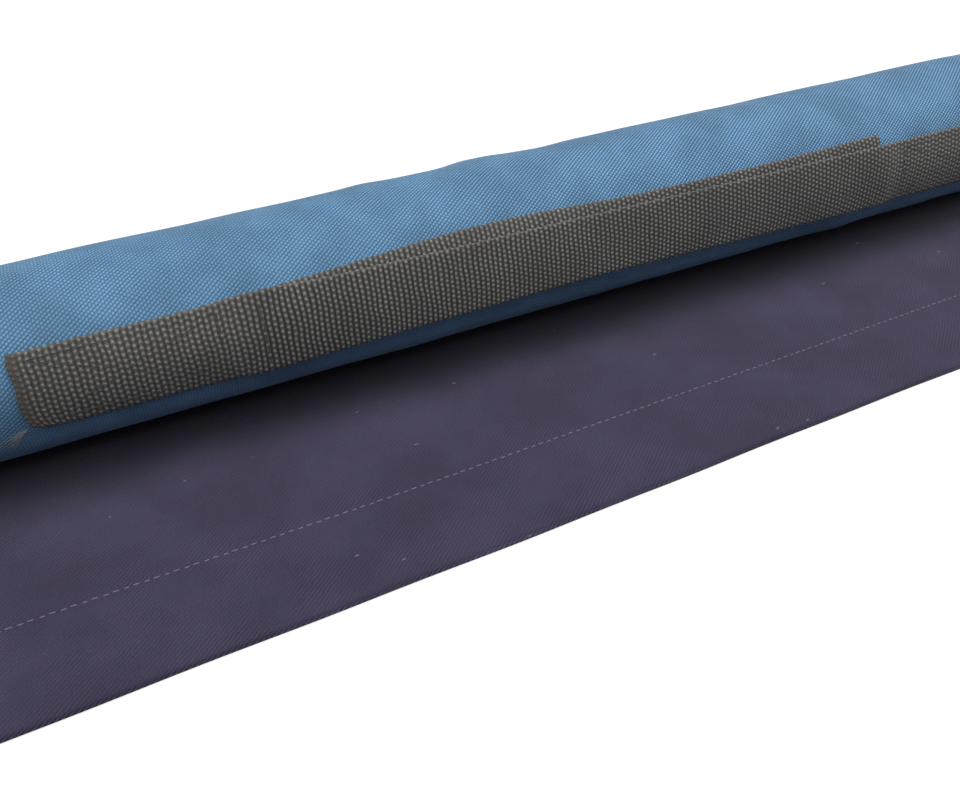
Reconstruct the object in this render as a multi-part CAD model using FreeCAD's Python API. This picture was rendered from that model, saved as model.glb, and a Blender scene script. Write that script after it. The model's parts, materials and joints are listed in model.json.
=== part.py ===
"""A padded tube carry case with a zipped end lid, a webbing handle and a flat cloth inner sleeve.

The case lies along X with its middle at the origin. Z points up, and the floor is the plane z = 0.
The base is at -X and the lid at +X. The front of the case, where the handle is sewn, faces -Y.
Angles round the tube are in degrees from the top line (+Z) towards the front (-Y).
"""
import FreeCAD, Part
import math
import os

from FreeCAD import Vector

# Driving dimensions, in millimetres
CASE_LENGTH = 1180.0
LID_DEPTH = 46.0

BORE_DIAMETER = 46.0
TUBE_WALL = 2.0
FOAM_THICKNESS = 1.2
COVER_CLOTH = 0.6

END_PAD_THICKNESS = 3.0
PLUG_FLANGE_THICKNESS = 2.0
PLUG_SPIGOT_DEPTH = 6.0
PLUG_CLEARANCE = 0.05
EDGE_BINDING_WIDTH = 4.0
EDGE_BINDING_ROUND = 0.45
FLOOR_CLEARANCE = 0.1

COVER_SEAM_ANGLE = 205.0
SEAM_TAPE_WIDTH = 12.0
SEAM_TAPE_THICKNESS = 0.4
SEAM_ROW_SPACING = 8.0

# Zip round the lid's edge
TAPE_THICKNESS = 0.6
TAPE_WIDTH = 14.6
COIL_WIDTH = 1.8
COIL_THICKNESS = 1.6
COIL_GAP = 1.2
ZIP_HALF_ANGLE_AT_HINGE = 40.0
LID_ZIP_SHORTFALL = 18.0
ZIP_STOP_ANGLE = 2.0
MOUTH_TAPE_REACH = 5.0
MOUTH_BINDING_WIDTH = 4.4
MOUTH_BINDING_THICKNESS = 0.6
TUBE_SETBACK = 8.0
FOAM_SETBACK = 18.0

# Cloth hinge over the top of the lid's edge
HINGE_HALF_ANGLE = 36.0
HINGE_LEAF_LENGTH = 30.0
HINGE_CLOTH = 0.6
HINGE_FOLD_GAP = 0.3

# Zip slider and its pull
SLIDER_PARK_ANGLE = 48.0
SLIDER_LENGTH = 9.0
SLIDER_WIDTH = 7.2
SLIDER_PLATE = 0.9
SLIDER_RUNNING_GAP = 0.3
SLIDER_POST_WIDTH = 0.7
SLIDER_POST_LENGTH = 4.0
BAIL_PIN_DIAMETER = 0.9
BAIL_PIN_HEIGHT = 1.0
BAIL_EAR_THICKNESS = 0.9
BAIL_EAR_LENGTH = 2.4
PULL_LENGTH = 18.0
PULL_WIDTH = 5.6
PULL_NECK_WIDTH = 3.6
PULL_THICKNESS = 1.2
PULL_EYE_CLEARANCE = 0.05
PULL_EYE_WALL = 0.4
PULL_SIDE_CLEARANCE = 0.1
PULL_GRIP_HOLE = 2.4

# Webbing handle on the front
WEBBING_WIDTH = 23.5
WEBBING_THICKNESS = 1.3
STRAP_LENGTH = 360.0
GRIP_LENGTH = 234.0
STRAP_RISE_LEFT = 12.5
STRAP_RISE_RIGHT = 7.5
BACKING_RISE = 16.5
HANDLE_CLEARANCE = 0.3
STRAP_PLY_GAP = 0.1

# Flat inner sleeve under and in front of the tube
SLEEVE_CLOTH = 0.5
SLEEVE_PLY_GAP = 0.1
SLEEVE_FRONT_CHANNEL = 31.0
SLEEVE_BACK_CHANNEL = 86.0
SLEEVE_FRONT_EDGE = 100.3
SLEEVE_TURN = 1.44
SLEEVE_BASE_SETBACK = 12.0
SLEEVE_MOUTH_SETBACK = 20.0
SLEEVE_HEM_WIDTH = 20.0
SLEEVE_SEAM_INSET = 6.0
SLEEVE_TO_CASE = 0.2

# Sewing thread
THREAD_WIDTH = 0.5
THREAD_HEIGHT = 0.2
STITCH_LENGTH = 3.0
STITCH_PITCH = 5.0
STITCH_INSET = 3.0

# Sizes worked out from the ones above
BORE_RADIUS = BORE_DIAMETER / 2
TUBE_RADIUS = BORE_RADIUS + TUBE_WALL
FOAM_RADIUS = TUBE_RADIUS + FOAM_THICKNESS
COVER_RADIUS = FOAM_RADIUS + COVER_CLOTH
SLEEVE_THICKNESS = 2 * SLEEVE_CLOTH + SLEEVE_PLY_GAP
AXIS_HEIGHT = SLEEVE_THICKNESS + SLEEVE_TO_CASE + COVER_RADIUS
BINDING_RADIUS = AXIS_HEIGHT - FLOOR_CLEARANCE
BASE_END = -CASE_LENGTH / 2
LID_END = CASE_LENGTH / 2
ZIP_LINE = LID_END - LID_DEPTH
HINGE_RADIUS = COVER_RADIUS + HINGE_CLOTH
TAPE_RADIUS = FOAM_RADIUS - TAPE_THICKNESS
COIL_MIDDLE = COVER_RADIUS - COIL_THICKNESS / 2
COIL_START = COIL_GAP / 2
TAPE_START = COIL_START + COIL_WIDTH
SLIDER_TOP = COVER_RADIUS + SLIDER_RUNNING_GAP + SLIDER_PLATE
PIN_RADIUS = SLIDER_TOP + BAIL_PIN_HEIGHT
GRIP_HALF = GRIP_LENGTH / 2
STRAP_HALF = STRAP_LENGTH / 2
SLEEVE_WIDTH = SLEEVE_FRONT_CHANNEL + SLEEVE_BACK_CHANNEL

AXIS_POINT = Vector(0, 0, AXIS_HEIGHT)
ALONG = Vector(1, 0, 0)


def point_round(x, radius, angle):
    """The point at a radius and angle round the tube's axis."""
    turn = math.radians(angle)
    return Vector(x, -radius * math.sin(turn), AXIS_HEIGHT + radius * math.cos(turn))


def degrees_of(length, radius):
    """The angle that an arc of this length takes at this radius."""
    return math.degrees(length / radius)


def turned(shape, angle):
    """A copy of a shape, turned round the tube's axis from the top towards the front."""
    copy = shape.copy()
    copy.rotate(AXIS_POINT, ALONG, angle)
    return copy


def ring(inner, outer, x_start, x_end):
    """A full ring or, with no inner radius, a disc round the tube's axis."""
    start = Vector(x_start, 0, AXIS_HEIGHT)
    length = x_end - x_start
    solid = Part.makeCylinder(outer, length, start, ALONG)
    if inner > 0:
        solid = solid.cut(Part.makeCylinder(inner, length, start, ALONG))
    return solid


def sector_wire(inner, outer, x, angle_start, angle_end):
    """The outline, at one X, of a part ring between two angles."""
    middle = (angle_start + angle_end) / 2
    outer_start = point_round(x, outer, angle_start)
    outer_end = point_round(x, outer, angle_end)
    inner_start = point_round(x, inner, angle_start)
    inner_end = point_round(x, inner, angle_end)
    edges = [
        Part.Arc(outer_start, point_round(x, outer, middle), outer_end).toShape(),
        Part.LineSegment(outer_end, inner_end).toShape(),
        Part.Arc(inner_end, point_round(x, inner, middle), inner_start).toShape(),
        Part.LineSegment(inner_start, outer_start).toShape(),
    ]
    return Part.Wire(edges)


def part_ring(inner, outer, x_start, x_end, angle_start, angle_end):
    """A ring that covers only the angles between two limits."""
    wire = sector_wire(inner, outer, x_start, angle_start, angle_end)
    return Part.Face(wire).extrude(Vector(x_end - x_start, 0, 0))


def rounded_ring(inner, outer, x_start, x_end, rounding):
    """A full ring with its two outer edges rounded."""
    solid = ring(inner, outer, x_start, x_end)
    edges = [edge for edge in solid.Edges
             if edge.Closed and abs(edge.BoundBox.ZMax - AXIS_HEIGHT - outer) < 1e-4]
    return solid.makeFillet(rounding, edges)


def stitch(x, radius, angle, heading, length=STITCH_LENGTH):
    """One sewn stitch on a round surface; the heading is from the X direction, in degrees."""
    corner = Vector(-length / 2, -THREAD_WIDTH / 2, 0)
    solid = Part.makeBox(length, THREAD_WIDTH, THREAD_HEIGHT, corner)
    solid.rotate(Vector(), Vector(0, 0, 1), heading)
    solid.translate(Vector(x, 0, AXIS_HEIGHT + radius))
    return turned(solid, angle)


def stitch_row(radius, x_start, angle_start, x_end, angle_end):
    """A row of stitches between two places on a round surface."""
    arc = math.radians(angle_end - angle_start) * radius
    length = math.hypot(x_end - x_start, arc)
    heading = -math.degrees(math.atan2(arc, x_end - x_start))
    count = max(1, int(length / STITCH_PITCH))
    row = []
    for index in range(count):
        share = (index + 0.5) / count
        x = x_start + (x_end - x_start) * share
        angle = angle_start + (angle_end - angle_start) * share
        row.append(stitch(x, radius, angle, heading))
    return row


def stitch_circle(radius, x, angle_start, angle_end):
    """Stitches round the tube at one X, between two angles."""
    return stitch_row(radius, x, angle_start, x, angle_end)


def group(solids):
    """Separate solids that share one node."""
    return Part.makeCompound(solids)


# The tube and its cover

def inner_tube():
    """The stiff tube that carries everything; it stops short of the zip."""
    tube_start = BASE_END + COVER_CLOTH + END_PAD_THICKNESS + PLUG_FLANGE_THICKNESS
    return ring(BORE_RADIUS, TUBE_RADIUS, tube_start, ZIP_LINE - TUBE_SETBACK)


def foam_wrap():
    """The thin foam round the tube, under the cover."""
    foam_start = BASE_END + COVER_CLOTH + END_PAD_THICKNESS
    return ring(TUBE_RADIUS, FOAM_RADIUS, foam_start, ZIP_LINE - FOAM_SETBACK)


def outer_cover():
    """The woven cover round the foam."""
    return ring(FOAM_RADIUS, COVER_RADIUS, BASE_END + COVER_CLOTH, ZIP_LINE - MOUTH_TAPE_REACH)


def cover_seam_limits():
    """Where the cover's lengthwise seam starts and ends, clear of the binding's stitches."""
    seam_start = BASE_END + EDGE_BINDING_WIDTH + 2 * THREAD_WIDTH
    seam_end = ZIP_LINE - MOUTH_TAPE_REACH - MOUTH_BINDING_WIDTH
    return seam_start, seam_end


def cover_seam_tape():
    """The tape over the cover's lengthwise seam, at the back."""
    seam_start, seam_end = cover_seam_limits()
    half_angle = degrees_of(SEAM_TAPE_WIDTH / 2, COVER_RADIUS)
    return part_ring(COVER_RADIUS, COVER_RADIUS + SEAM_TAPE_THICKNESS, seam_start, seam_end,
                     COVER_SEAM_ANGLE - half_angle, COVER_SEAM_ANGLE + half_angle)


def cover_seam_thread():
    """Two rows of thread along the seam tape."""
    seam_start, seam_end = cover_seam_limits()
    radius = COVER_RADIUS + SEAM_TAPE_THICKNESS
    half_angle = degrees_of(SEAM_ROW_SPACING / 2, radius)
    rows = []
    for side in (-1, 1):
        middle = COVER_SEAM_ANGLE + side * half_angle
        row_half = degrees_of(THREAD_WIDTH / 2, radius)
        rows.append(part_ring(radius, radius + THREAD_HEIGHT, seam_start, seam_end,
                              middle - row_half, middle + row_half))
    return group(rows)


# The two padded ends; side is -1 at the base and 1 at the lid

def between(x_first, x_second):
    """Two X values in rising order."""
    return min(x_first, x_second), max(x_first, x_second)


def end_layer(side, radius, depth_from, depth_to):
    """A disc in a padded end, placed by its depths in from the end face."""
    x_end = side * CASE_LENGTH / 2
    x_start, x_stop = between(x_end - side * depth_from, x_end - side * depth_to)
    return ring(0, radius, x_start, x_stop)


def end_cover(side):
    """The cloth disc that closes the end."""
    return end_layer(side, COVER_RADIUS, 0, COVER_CLOTH)


def end_pad(side):
    """The foam disc behind the end's cloth."""
    return end_layer(side, FOAM_RADIUS, COVER_CLOTH, COVER_CLOTH + END_PAD_THICKNESS)


def end_plug(side):
    """A moulded disc: a flange against the tube's end and a spigot inside the bore."""
    flange_depth = COVER_CLOTH + END_PAD_THICKNESS
    spigot_depth = flange_depth + PLUG_FLANGE_THICKNESS
    flange = end_layer(side, TUBE_RADIUS, flange_depth, spigot_depth)
    x_end = side * CASE_LENGTH / 2
    spigot_radius = BORE_RADIUS - PLUG_CLEARANCE
    x_start, x_stop = between(x_end - side * spigot_depth,
                              x_end - side * (spigot_depth + PLUG_SPIGOT_DEPTH))
    spigot = ring(0, spigot_radius, x_start, x_stop)
    return flange.fuse(spigot).removeSplitter()


def end_binding(side):
    """The folded tape over the seam between the cover and the end."""
    x_end = side * CASE_LENGTH / 2
    x_start, x_stop = between(x_end, x_end - side * EDGE_BINDING_WIDTH)
    return rounded_ring(COVER_RADIUS, BINDING_RADIUS, x_start, x_stop, EDGE_BINDING_ROUND)


def end_binding_thread(side):
    """The stitches that hold the end's binding, on the cover beside it."""
    x = side * (CASE_LENGTH / 2 - EDGE_BINDING_WIDTH - THREAD_WIDTH)
    return group(stitch_circle(COVER_RADIUS, x, 0, 360))


# The lid's shell

def lid_ring():
    """The stiff ring inside the lid."""
    ring_end = LID_END - COVER_CLOTH - END_PAD_THICKNESS - PLUG_FLANGE_THICKNESS
    return ring(BORE_RADIUS, TUBE_RADIUS, ZIP_LINE + TUBE_SETBACK, ring_end)


def lid_foam():
    """The foam round the lid's ring."""
    foam_end = LID_END - COVER_CLOTH - END_PAD_THICKNESS
    return ring(TUBE_RADIUS, FOAM_RADIUS, ZIP_LINE + FOAM_SETBACK, foam_end)


def lid_side_cover():
    """The woven cover round the lid."""
    return ring(FOAM_RADIUS, COVER_RADIUS, ZIP_LINE + MOUTH_TAPE_REACH, LID_END - COVER_CLOTH)


# The zip; side is -1 on the case and 1 on the lid

def zip_limits(side):
    """The angles between which a zip half runs; the lid's half is shorter, so the slider can park."""
    first = ZIP_HALF_ANGLE_AT_HINGE
    if side > 0:
        first += LID_ZIP_SHORTFALL
    return first, 360 - first


def zip_band(side, inner, outer, reach_from, reach_to):
    """A band beside the zip line, placed by how far it reaches from that line."""
    first, last = zip_limits(side)
    x_start, x_stop = between(ZIP_LINE + side * reach_from, ZIP_LINE + side * reach_to)
    return part_ring(inner, outer, x_start, x_stop, first, last)


def zip_tape(side):
    """The woven tape that carries a zip half."""
    return zip_band(side, TAPE_RADIUS, FOAM_RADIUS, TAPE_START, TAPE_START + TAPE_WIDTH)


def zip_coil(side):
    """The coil of one zip half, along the edge of its tape."""
    half = COIL_THICKNESS / 2
    return zip_band(side, COIL_MIDDLE - half, COIL_MIDDLE + half, COIL_START, TAPE_START)


def zip_stops():
    """The two end stops on the case's zip half."""
    half = COIL_THICKNESS / 2
    stops = []
    for first in (ZIP_HALF_ANGLE_AT_HINGE - ZIP_STOP_ANGLE, 360 - ZIP_HALF_ANGLE_AT_HINGE):
        stops.append(part_ring(COIL_MIDDLE - half, COIL_MIDDLE + half, ZIP_LINE - TAPE_START,
                               ZIP_LINE - COIL_START, first, first + ZIP_STOP_ANGLE))
    return group(stops)


def mouth_binding(side):
    """The tape that covers the cut edge of the cover beside the zip."""
    first = ZIP_HALF_ANGLE_AT_HINGE
    x_start, x_stop = between(ZIP_LINE + side * MOUTH_TAPE_REACH,
                              ZIP_LINE + side * (MOUTH_TAPE_REACH + MOUTH_BINDING_WIDTH))
    return part_ring(COVER_RADIUS, COVER_RADIUS + MOUTH_BINDING_THICKNESS, x_start, x_stop,
                     first, 360 - first)


def mouth_binding_thread(side):
    """The row of stitches along the mouth binding."""
    first = ZIP_HALF_ANGLE_AT_HINGE
    x = ZIP_LINE + side * (MOUTH_TAPE_REACH + MOUTH_BINDING_WIDTH / 2)
    return group(stitch_circle(COVER_RADIUS + MOUTH_BINDING_THICKNESS, x, first, 360 - first))


def hinge_leaf(side):
    """Half of the cloth hinge; the fold is on the top line of the case."""
    x_start, x_stop = between(ZIP_LINE + side * HINGE_FOLD_GAP / 2,
                              ZIP_LINE + side * HINGE_LEAF_LENGTH)
    return part_ring(COVER_RADIUS, HINGE_RADIUS, x_start, x_stop,
                     -HINGE_HALF_ANGLE, HINGE_HALF_ANGLE)


def hinge_leaf_thread(side):
    """The stitches round the sewn edges of one hinge leaf."""
    inset_angle = HINGE_HALF_ANGLE - degrees_of(STITCH_INSET, HINGE_RADIUS)
    x_near = ZIP_LINE + side * (MOUTH_TAPE_REACH + STITCH_INSET)
    x_far = ZIP_LINE + side * (HINGE_LEAF_LENGTH - STITCH_INSET)
    stitches = stitch_row(HINGE_RADIUS, x_near, -inset_angle, x_far, -inset_angle)
    stitches += stitch_row(HINGE_RADIUS, x_far, -inset_angle, x_far, inset_angle)
    stitches += stitch_row(HINGE_RADIUS, x_far, inset_angle, x_near, inset_angle)
    return group(stitches)


# The slider and its pull are drawn on the top line and then turned to where they park

def slider_body():
    """The slider: a plate over the coils, a plate under them, and a post between the two."""
    half_width = SLIDER_WIDTH / 2
    coil_bottom = COVER_RADIUS - COIL_THICKNESS
    outer_base = COVER_RADIUS + SLIDER_RUNNING_GAP
    inner_top = coil_bottom - SLIDER_RUNNING_GAP
    plate_half = degrees_of(SLIDER_LENGTH / 2, COVER_RADIUS)
    outer_plate = part_ring(outer_base, SLIDER_TOP, ZIP_LINE - half_width,
                            ZIP_LINE + half_width, -plate_half, plate_half)
    inner_plate = part_ring(inner_top - SLIDER_PLATE, inner_top, ZIP_LINE - half_width,
                            ZIP_LINE + half_width, -plate_half, plate_half)
    post_half = degrees_of(SLIDER_POST_LENGTH / 2, COVER_RADIUS)
    post = part_ring(inner_top - SLIDER_PLATE / 2, outer_base + SLIDER_PLATE / 2,
                     ZIP_LINE - SLIDER_POST_WIDTH / 2, ZIP_LINE + SLIDER_POST_WIDTH / 2,
                     -post_half, post_half)
    return turned(outer_plate.fuse([inner_plate, post]).removeSplitter(), SLIDER_PARK_ANGLE)


def slider_bail():
    """Two ears on the slider, with the pin that the pull turns on."""
    ear_inner = PULL_NECK_WIDTH / 2 + PULL_SIDE_CLEARANCE
    ear_outer = ear_inner + BAIL_EAR_THICKNESS
    plate_sink = SLIDER_TOP - math.sqrt(SLIDER_TOP ** 2 - ear_outer ** 2)
    ear_height = BAIL_PIN_HEIGHT + BAIL_PIN_DIAMETER
    pieces = []
    for side in (-1, 1):
        y_start = side * ear_inner if side > 0 else -ear_inner - BAIL_EAR_THICKNESS
        ear_base = AXIS_HEIGHT + SLIDER_TOP - plate_sink
        corner = Vector(ZIP_LINE - BAIL_EAR_LENGTH / 2, y_start, ear_base)
        pieces.append(Part.makeBox(BAIL_EAR_LENGTH, BAIL_EAR_THICKNESS,
                                   ear_height + plate_sink, corner))
    pin_length = 2 * (ear_inner + BAIL_EAR_THICKNESS / 2)
    pin_start = Vector(ZIP_LINE, -pin_length / 2, AXIS_HEIGHT + PIN_RADIUS)
    pin = Part.makeCylinder(BAIL_PIN_DIAMETER / 2, pin_length, pin_start, Vector(0, 1, 0))
    bail = pieces[0].fuse([pieces[1], pin])
    plate_block = ring(0, SLIDER_TOP, ZIP_LINE - BAIL_EAR_LENGTH, ZIP_LINE + BAIL_EAR_LENGTH)
    return turned(bail.cut(plate_block), SLIDER_PARK_ANGLE)


def pull_tab():
    """The flat pull, lying along the case from its eye on the pin."""
    height = AXIS_HEIGHT + PIN_RADIUS
    eye_hole = BAIL_PIN_DIAMETER / 2 + PULL_EYE_CLEARANCE
    eye_outer = eye_hole + PULL_EYE_WALL
    across = Vector(0, 1, 0)
    neck_half = PULL_NECK_WIDTH / 2
    wide_half = PULL_WIDTH / 2
    wide_start = eye_outer + BAIL_EAR_LENGTH / 2
    shoulder = wide_start + (wide_half - neck_half)
    bottom = height - PULL_THICKNESS / 2
    outline = [
        Vector(ZIP_LINE, -neck_half, bottom),
        Vector(ZIP_LINE, neck_half, bottom),
        Vector(ZIP_LINE - wide_start, neck_half, bottom),
        Vector(ZIP_LINE - shoulder, wide_half, bottom),
        Vector(ZIP_LINE - PULL_LENGTH + wide_half, wide_half, bottom),
        Vector(ZIP_LINE - PULL_LENGTH, 0, bottom),
        Vector(ZIP_LINE - PULL_LENGTH + wide_half, -wide_half, bottom),
        Vector(ZIP_LINE - shoulder, -wide_half, bottom),
        Vector(ZIP_LINE - wide_start, -neck_half, bottom),
    ]
    edges = []
    for index in (0, 1, 2, 3):
        edges.append(Part.LineSegment(outline[index], outline[index + 1]).toShape())
    edges.append(Part.Arc(outline[4], outline[5], outline[6]).toShape())
    for index in (6, 7):
        edges.append(Part.LineSegment(outline[index], outline[index + 1]).toShape())
    edges.append(Part.LineSegment(outline[8], outline[0]).toShape())
    blade = Part.Face(Part.Wire(edges)).extrude(Vector(0, 0, PULL_THICKNESS))
    eye_start = Vector(ZIP_LINE, -neck_half, height)
    eye = Part.makeCylinder(eye_outer, PULL_NECK_WIDTH, eye_start, across)
    hole = Part.makeCylinder(eye_hole, PULL_NECK_WIDTH, eye_start, across)
    grip_start = Vector(ZIP_LINE - PULL_LENGTH + wide_half + PULL_GRIP_HOLE / 4, 0, bottom)
    grip_hole = Part.makeCylinder(PULL_GRIP_HOLE / 2, PULL_THICKNESS, grip_start)
    return turned(blade.fuse(eye).cut(hole).cut(grip_hole).removeSplitter(), SLIDER_PARK_ANGLE)


# The webbing handle

def strap_middle(x):
    """The angle of the outer strap's middle, which drops a little from left to right."""
    share = (x + STRAP_HALF) / STRAP_LENGTH
    rise = STRAP_RISE_LEFT + (STRAP_RISE_RIGHT - STRAP_RISE_LEFT) * share
    return 90 - rise


def webbing(inner, x_start, x_end, middle_start, middle_end):
    """A flat strap that lies along the tube, between two places round it."""
    outer = inner + WEBBING_THICKNESS
    half = degrees_of(WEBBING_WIDTH / 2, inner)
    first = sector_wire(inner, outer, x_start, middle_start - half, middle_start + half)
    last = sector_wire(inner, outer, x_end, middle_end - half, middle_end + half)
    return Part.makeLoft([first, last], True, True)


def strap_end(side):
    """The sewn-down end of the outer strap, flat on the cover."""
    x_start, x_end = between(side * (GRIP_HALF + HANDLE_CLEARANCE), side * STRAP_HALF)
    return webbing(COVER_RADIUS, x_start, x_end, strap_middle(x_start), strap_middle(x_end))


def strap_stitches(side):
    """A sewn box with a cross in it, through the strap's end."""
    radius = COVER_RADIUS + WEBBING_THICKNESS
    reach = degrees_of(WEBBING_WIDTH / 2 - STITCH_INSET, COVER_RADIUS)
    x_near = side * (GRIP_HALF + STITCH_INSET)
    x_far = side * (STRAP_HALF - STITCH_INSET)
    near, far = strap_middle(x_near), strap_middle(x_far)
    corners = [(x_near, near - reach), (x_far, far - reach),
               (x_far, far + reach), (x_near, near + reach)]
    stitches = []
    for index in range(4):
        x_a, angle_a = corners[index]
        x_b, angle_b = corners[(index + 1) % 4]
        stitches += stitch_row(radius, x_a, angle_a, x_b, angle_b)
    stitches += stitch_row(radius, *corners[0], *corners[2])
    stitches += stitch_row(radius, *corners[1], *corners[3])
    return group(stitches)


def handle_backing_strap():
    """The second ply of webbing behind the grip, straight along the tube."""
    middle = 90 - BACKING_RISE
    return webbing(COVER_RADIUS + HANDLE_CLEARANCE, -GRIP_HALF, GRIP_HALF, middle, middle)


def handle_grip_strap():
    """The free middle of the outer strap, which a hand goes round."""
    inner = COVER_RADIUS + HANDLE_CLEARANCE + WEBBING_THICKNESS + STRAP_PLY_GAP
    return webbing(inner, -GRIP_HALF, GRIP_HALF, strap_middle(-GRIP_HALF), strap_middle(GRIP_HALF))


def handle_ply_stitches():
    """The stitches that join the two plies at each end of the grip."""
    inner = COVER_RADIUS + HANDLE_CLEARANCE + WEBBING_THICKNESS + STRAP_PLY_GAP
    radius = inner + WEBBING_THICKNESS
    reach = degrees_of(WEBBING_WIDTH / 2 - STITCH_INSET, inner)
    stitches = []
    for side in (-1, 1):
        x = side * (GRIP_HALF - STITCH_INSET)
        middle = strap_middle(x)
        stitches += stitch_row(radius, x, middle - reach, x, middle + reach)
    return group(stitches)


# The flat inner sleeve is drawn square to the case and then turned to lie as it does

def laid(shape):
    """A copy of a sleeve piece, turned on the floor to the angle at which the sleeve lies."""
    copy = shape.copy()
    copy.rotate(Vector(0, -SLEEVE_FRONT_EDGE, 0), Vector(0, 0, 1), SLEEVE_TURN)
    return copy


def sleeve_limits():
    """The X of the sleeve's closed end and of its open mouth."""
    return BASE_END + SLEEVE_BASE_SETBACK, ZIP_LINE - SLEEVE_MOUTH_SETBACK


def sleeve_box(x_start, x_end, from_front, to_front, z_start, z_end):
    """A flat piece of the sleeve, placed by its distance from the front fold."""
    corner = Vector(x_start, from_front - SLEEVE_FRONT_EDGE, z_start)
    return Part.makeBox(x_end - x_start, to_front - from_front, z_end - z_start, corner)


def sleeve_lower_panel():
    """The lower ply, with the fold that turns up along the front edge."""
    x_start, x_end = sleeve_limits()
    panel = sleeve_box(x_start, x_end, 0, SLEEVE_WIDTH, 0, SLEEVE_CLOTH)
    half = SLEEVE_THICKNESS / 2
    fold_start = Vector(x_start, -SLEEVE_FRONT_EDGE, half)
    fold = Part.makeCylinder(half, x_end - x_start, fold_start, ALONG)
    front_block = sleeve_box(x_start, x_end, -SLEEVE_THICKNESS, 0, 0, SLEEVE_THICKNESS)
    return laid(panel.fuse(fold.common(front_block)).removeSplitter())


def sleeve_upper_panel():
    """The upper ply of the sleeve."""
    x_start, x_end = sleeve_limits()
    top_start = SLEEVE_CLOTH + SLEEVE_PLY_GAP
    return laid(sleeve_box(x_start, x_end, 0, SLEEVE_WIDTH, top_start, SLEEVE_THICKNESS))


def sleeve_row(from_front, x_start, x_end):
    """A lengthwise row of thread on the sleeve's upper ply."""
    return sleeve_box(x_start, x_end, from_front - THREAD_WIDTH / 2, from_front + THREAD_WIDTH / 2,
                      SLEEVE_THICKNESS, SLEEVE_THICKNESS + THREAD_HEIGHT / 2)


def sleeve_channel_thread():
    """The row that parts the narrow front channel from the wide back one."""
    x_start, x_end = sleeve_limits()
    row_start = x_start + SLEEVE_SEAM_INSET + 2 * THREAD_WIDTH
    return laid(sleeve_row(SLEEVE_FRONT_CHANNEL, row_start, x_end))


def sleeve_edge_thread():
    """The rows that close the back edge and the base end of the sleeve."""
    x_start, x_end = sleeve_limits()
    edge = sleeve_row(SLEEVE_WIDTH - SLEEVE_SEAM_INSET, x_start, x_end)
    across_x = x_start + SLEEVE_SEAM_INSET
    end = sleeve_box(across_x, across_x + THREAD_WIDTH, SLEEVE_SEAM_INSET,
                     SLEEVE_WIDTH - SLEEVE_SEAM_INSET - THREAD_WIDTH, SLEEVE_THICKNESS,
                     SLEEVE_THICKNESS + THREAD_HEIGHT / 2)
    return laid(group([edge, end]))


def sleeve_hem_thread():
    """The row that holds the hem at the sleeve's open mouth."""
    x_start, x_end = sleeve_limits()
    across_x = x_end - SLEEVE_HEM_WIDTH
    return laid(sleeve_box(across_x, across_x + THREAD_WIDTH, SLEEVE_FRONT_CHANNEL + THREAD_WIDTH,
                           SLEEVE_WIDTH - SLEEVE_SEAM_INSET - THREAD_WIDTH, SLEEVE_THICKNESS,
                           SLEEVE_THICKNESS + THREAD_HEIGHT / 2))


NODES = {
    "inner_tube": inner_tube(),
    "foam_wrap": foam_wrap(),
    "outer_cover": outer_cover(),
    "cover_seam_tape": cover_seam_tape(),
    "cover_seam_thread": cover_seam_thread(),
    "base_plug": end_plug(-1),
    "base_pad": end_pad(-1),
    "base_cover": end_cover(-1),
    "base_binding": end_binding(-1),
    "base_binding_thread": end_binding_thread(-1),
    "zip_tape_case": zip_tape(-1),
    "zip_coil_case": zip_coil(-1),
    "zip_stops": zip_stops(),
    "mouth_binding": mouth_binding(-1),
    "mouth_binding_thread": mouth_binding_thread(-1),
    "hinge_leaf_case": hinge_leaf(-1),
    "hinge_leaf_case_thread": hinge_leaf_thread(-1),
    "strap_end_left": strap_end(-1),
    "strap_end_right": strap_end(1),
    "strap_stitches_left": strap_stitches(-1),
    "strap_stitches_right": strap_stitches(1),
    "sleeve_lower_panel": sleeve_lower_panel(),
    "sleeve_upper_panel": sleeve_upper_panel(),
    "sleeve_channel_thread": sleeve_channel_thread(),
    "sleeve_edge_thread": sleeve_edge_thread(),
    "sleeve_hem_thread": sleeve_hem_thread(),
    "lid_ring": lid_ring(),
    "lid_plug": end_plug(1),
    "lid_foam": lid_foam(),
    "lid_pad": end_pad(1),
    "lid_side_cover": lid_side_cover(),
    "lid_top_cover": end_cover(1),
    "lid_binding": end_binding(1),
    "lid_binding_thread": end_binding_thread(1),
    "zip_tape_lid": zip_tape(1),
    "zip_coil_lid": zip_coil(1),
    "lid_mouth_binding": mouth_binding(1),
    "lid_mouth_binding_thread": mouth_binding_thread(1),
    "hinge_leaf_lid": hinge_leaf(1),
    "hinge_leaf_lid_thread": hinge_leaf_thread(1),
    "slider_body": slider_body(),
    "slider_bail": slider_bail(),
    "pull_tab": pull_tab(),
    "handle_grip_strap": handle_grip_strap(),
    "handle_backing_strap": handle_backing_strap(),
    "handle_ply_stitches": handle_ply_stitches(),
}

os.makedirs("parts", exist_ok=True)
for name, shape in NODES.items():
    if not shape.isValid():
        raise SystemExit(f"{name} isn't a valid shape")
    shape.exportStep(f"parts/{name}.step")
    print(f"{name}: {len(shape.Solids)} solids, {shape.Volume:.1f} mm3")
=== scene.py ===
# %% [markdown]
# # A padded tube carry case
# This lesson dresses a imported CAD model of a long, slim carry case. The case is a stiff tube under
# foam and blue woven cloth. It has a zipped lid at one end, a webbing handle sewn along its front,
# and it lies on its own flat cloth sleeve. They stay where they are, and every new piece is put
# where the CAD piece that it stands for lies.

# %% The frame and its sizes
import json
import math

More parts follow.
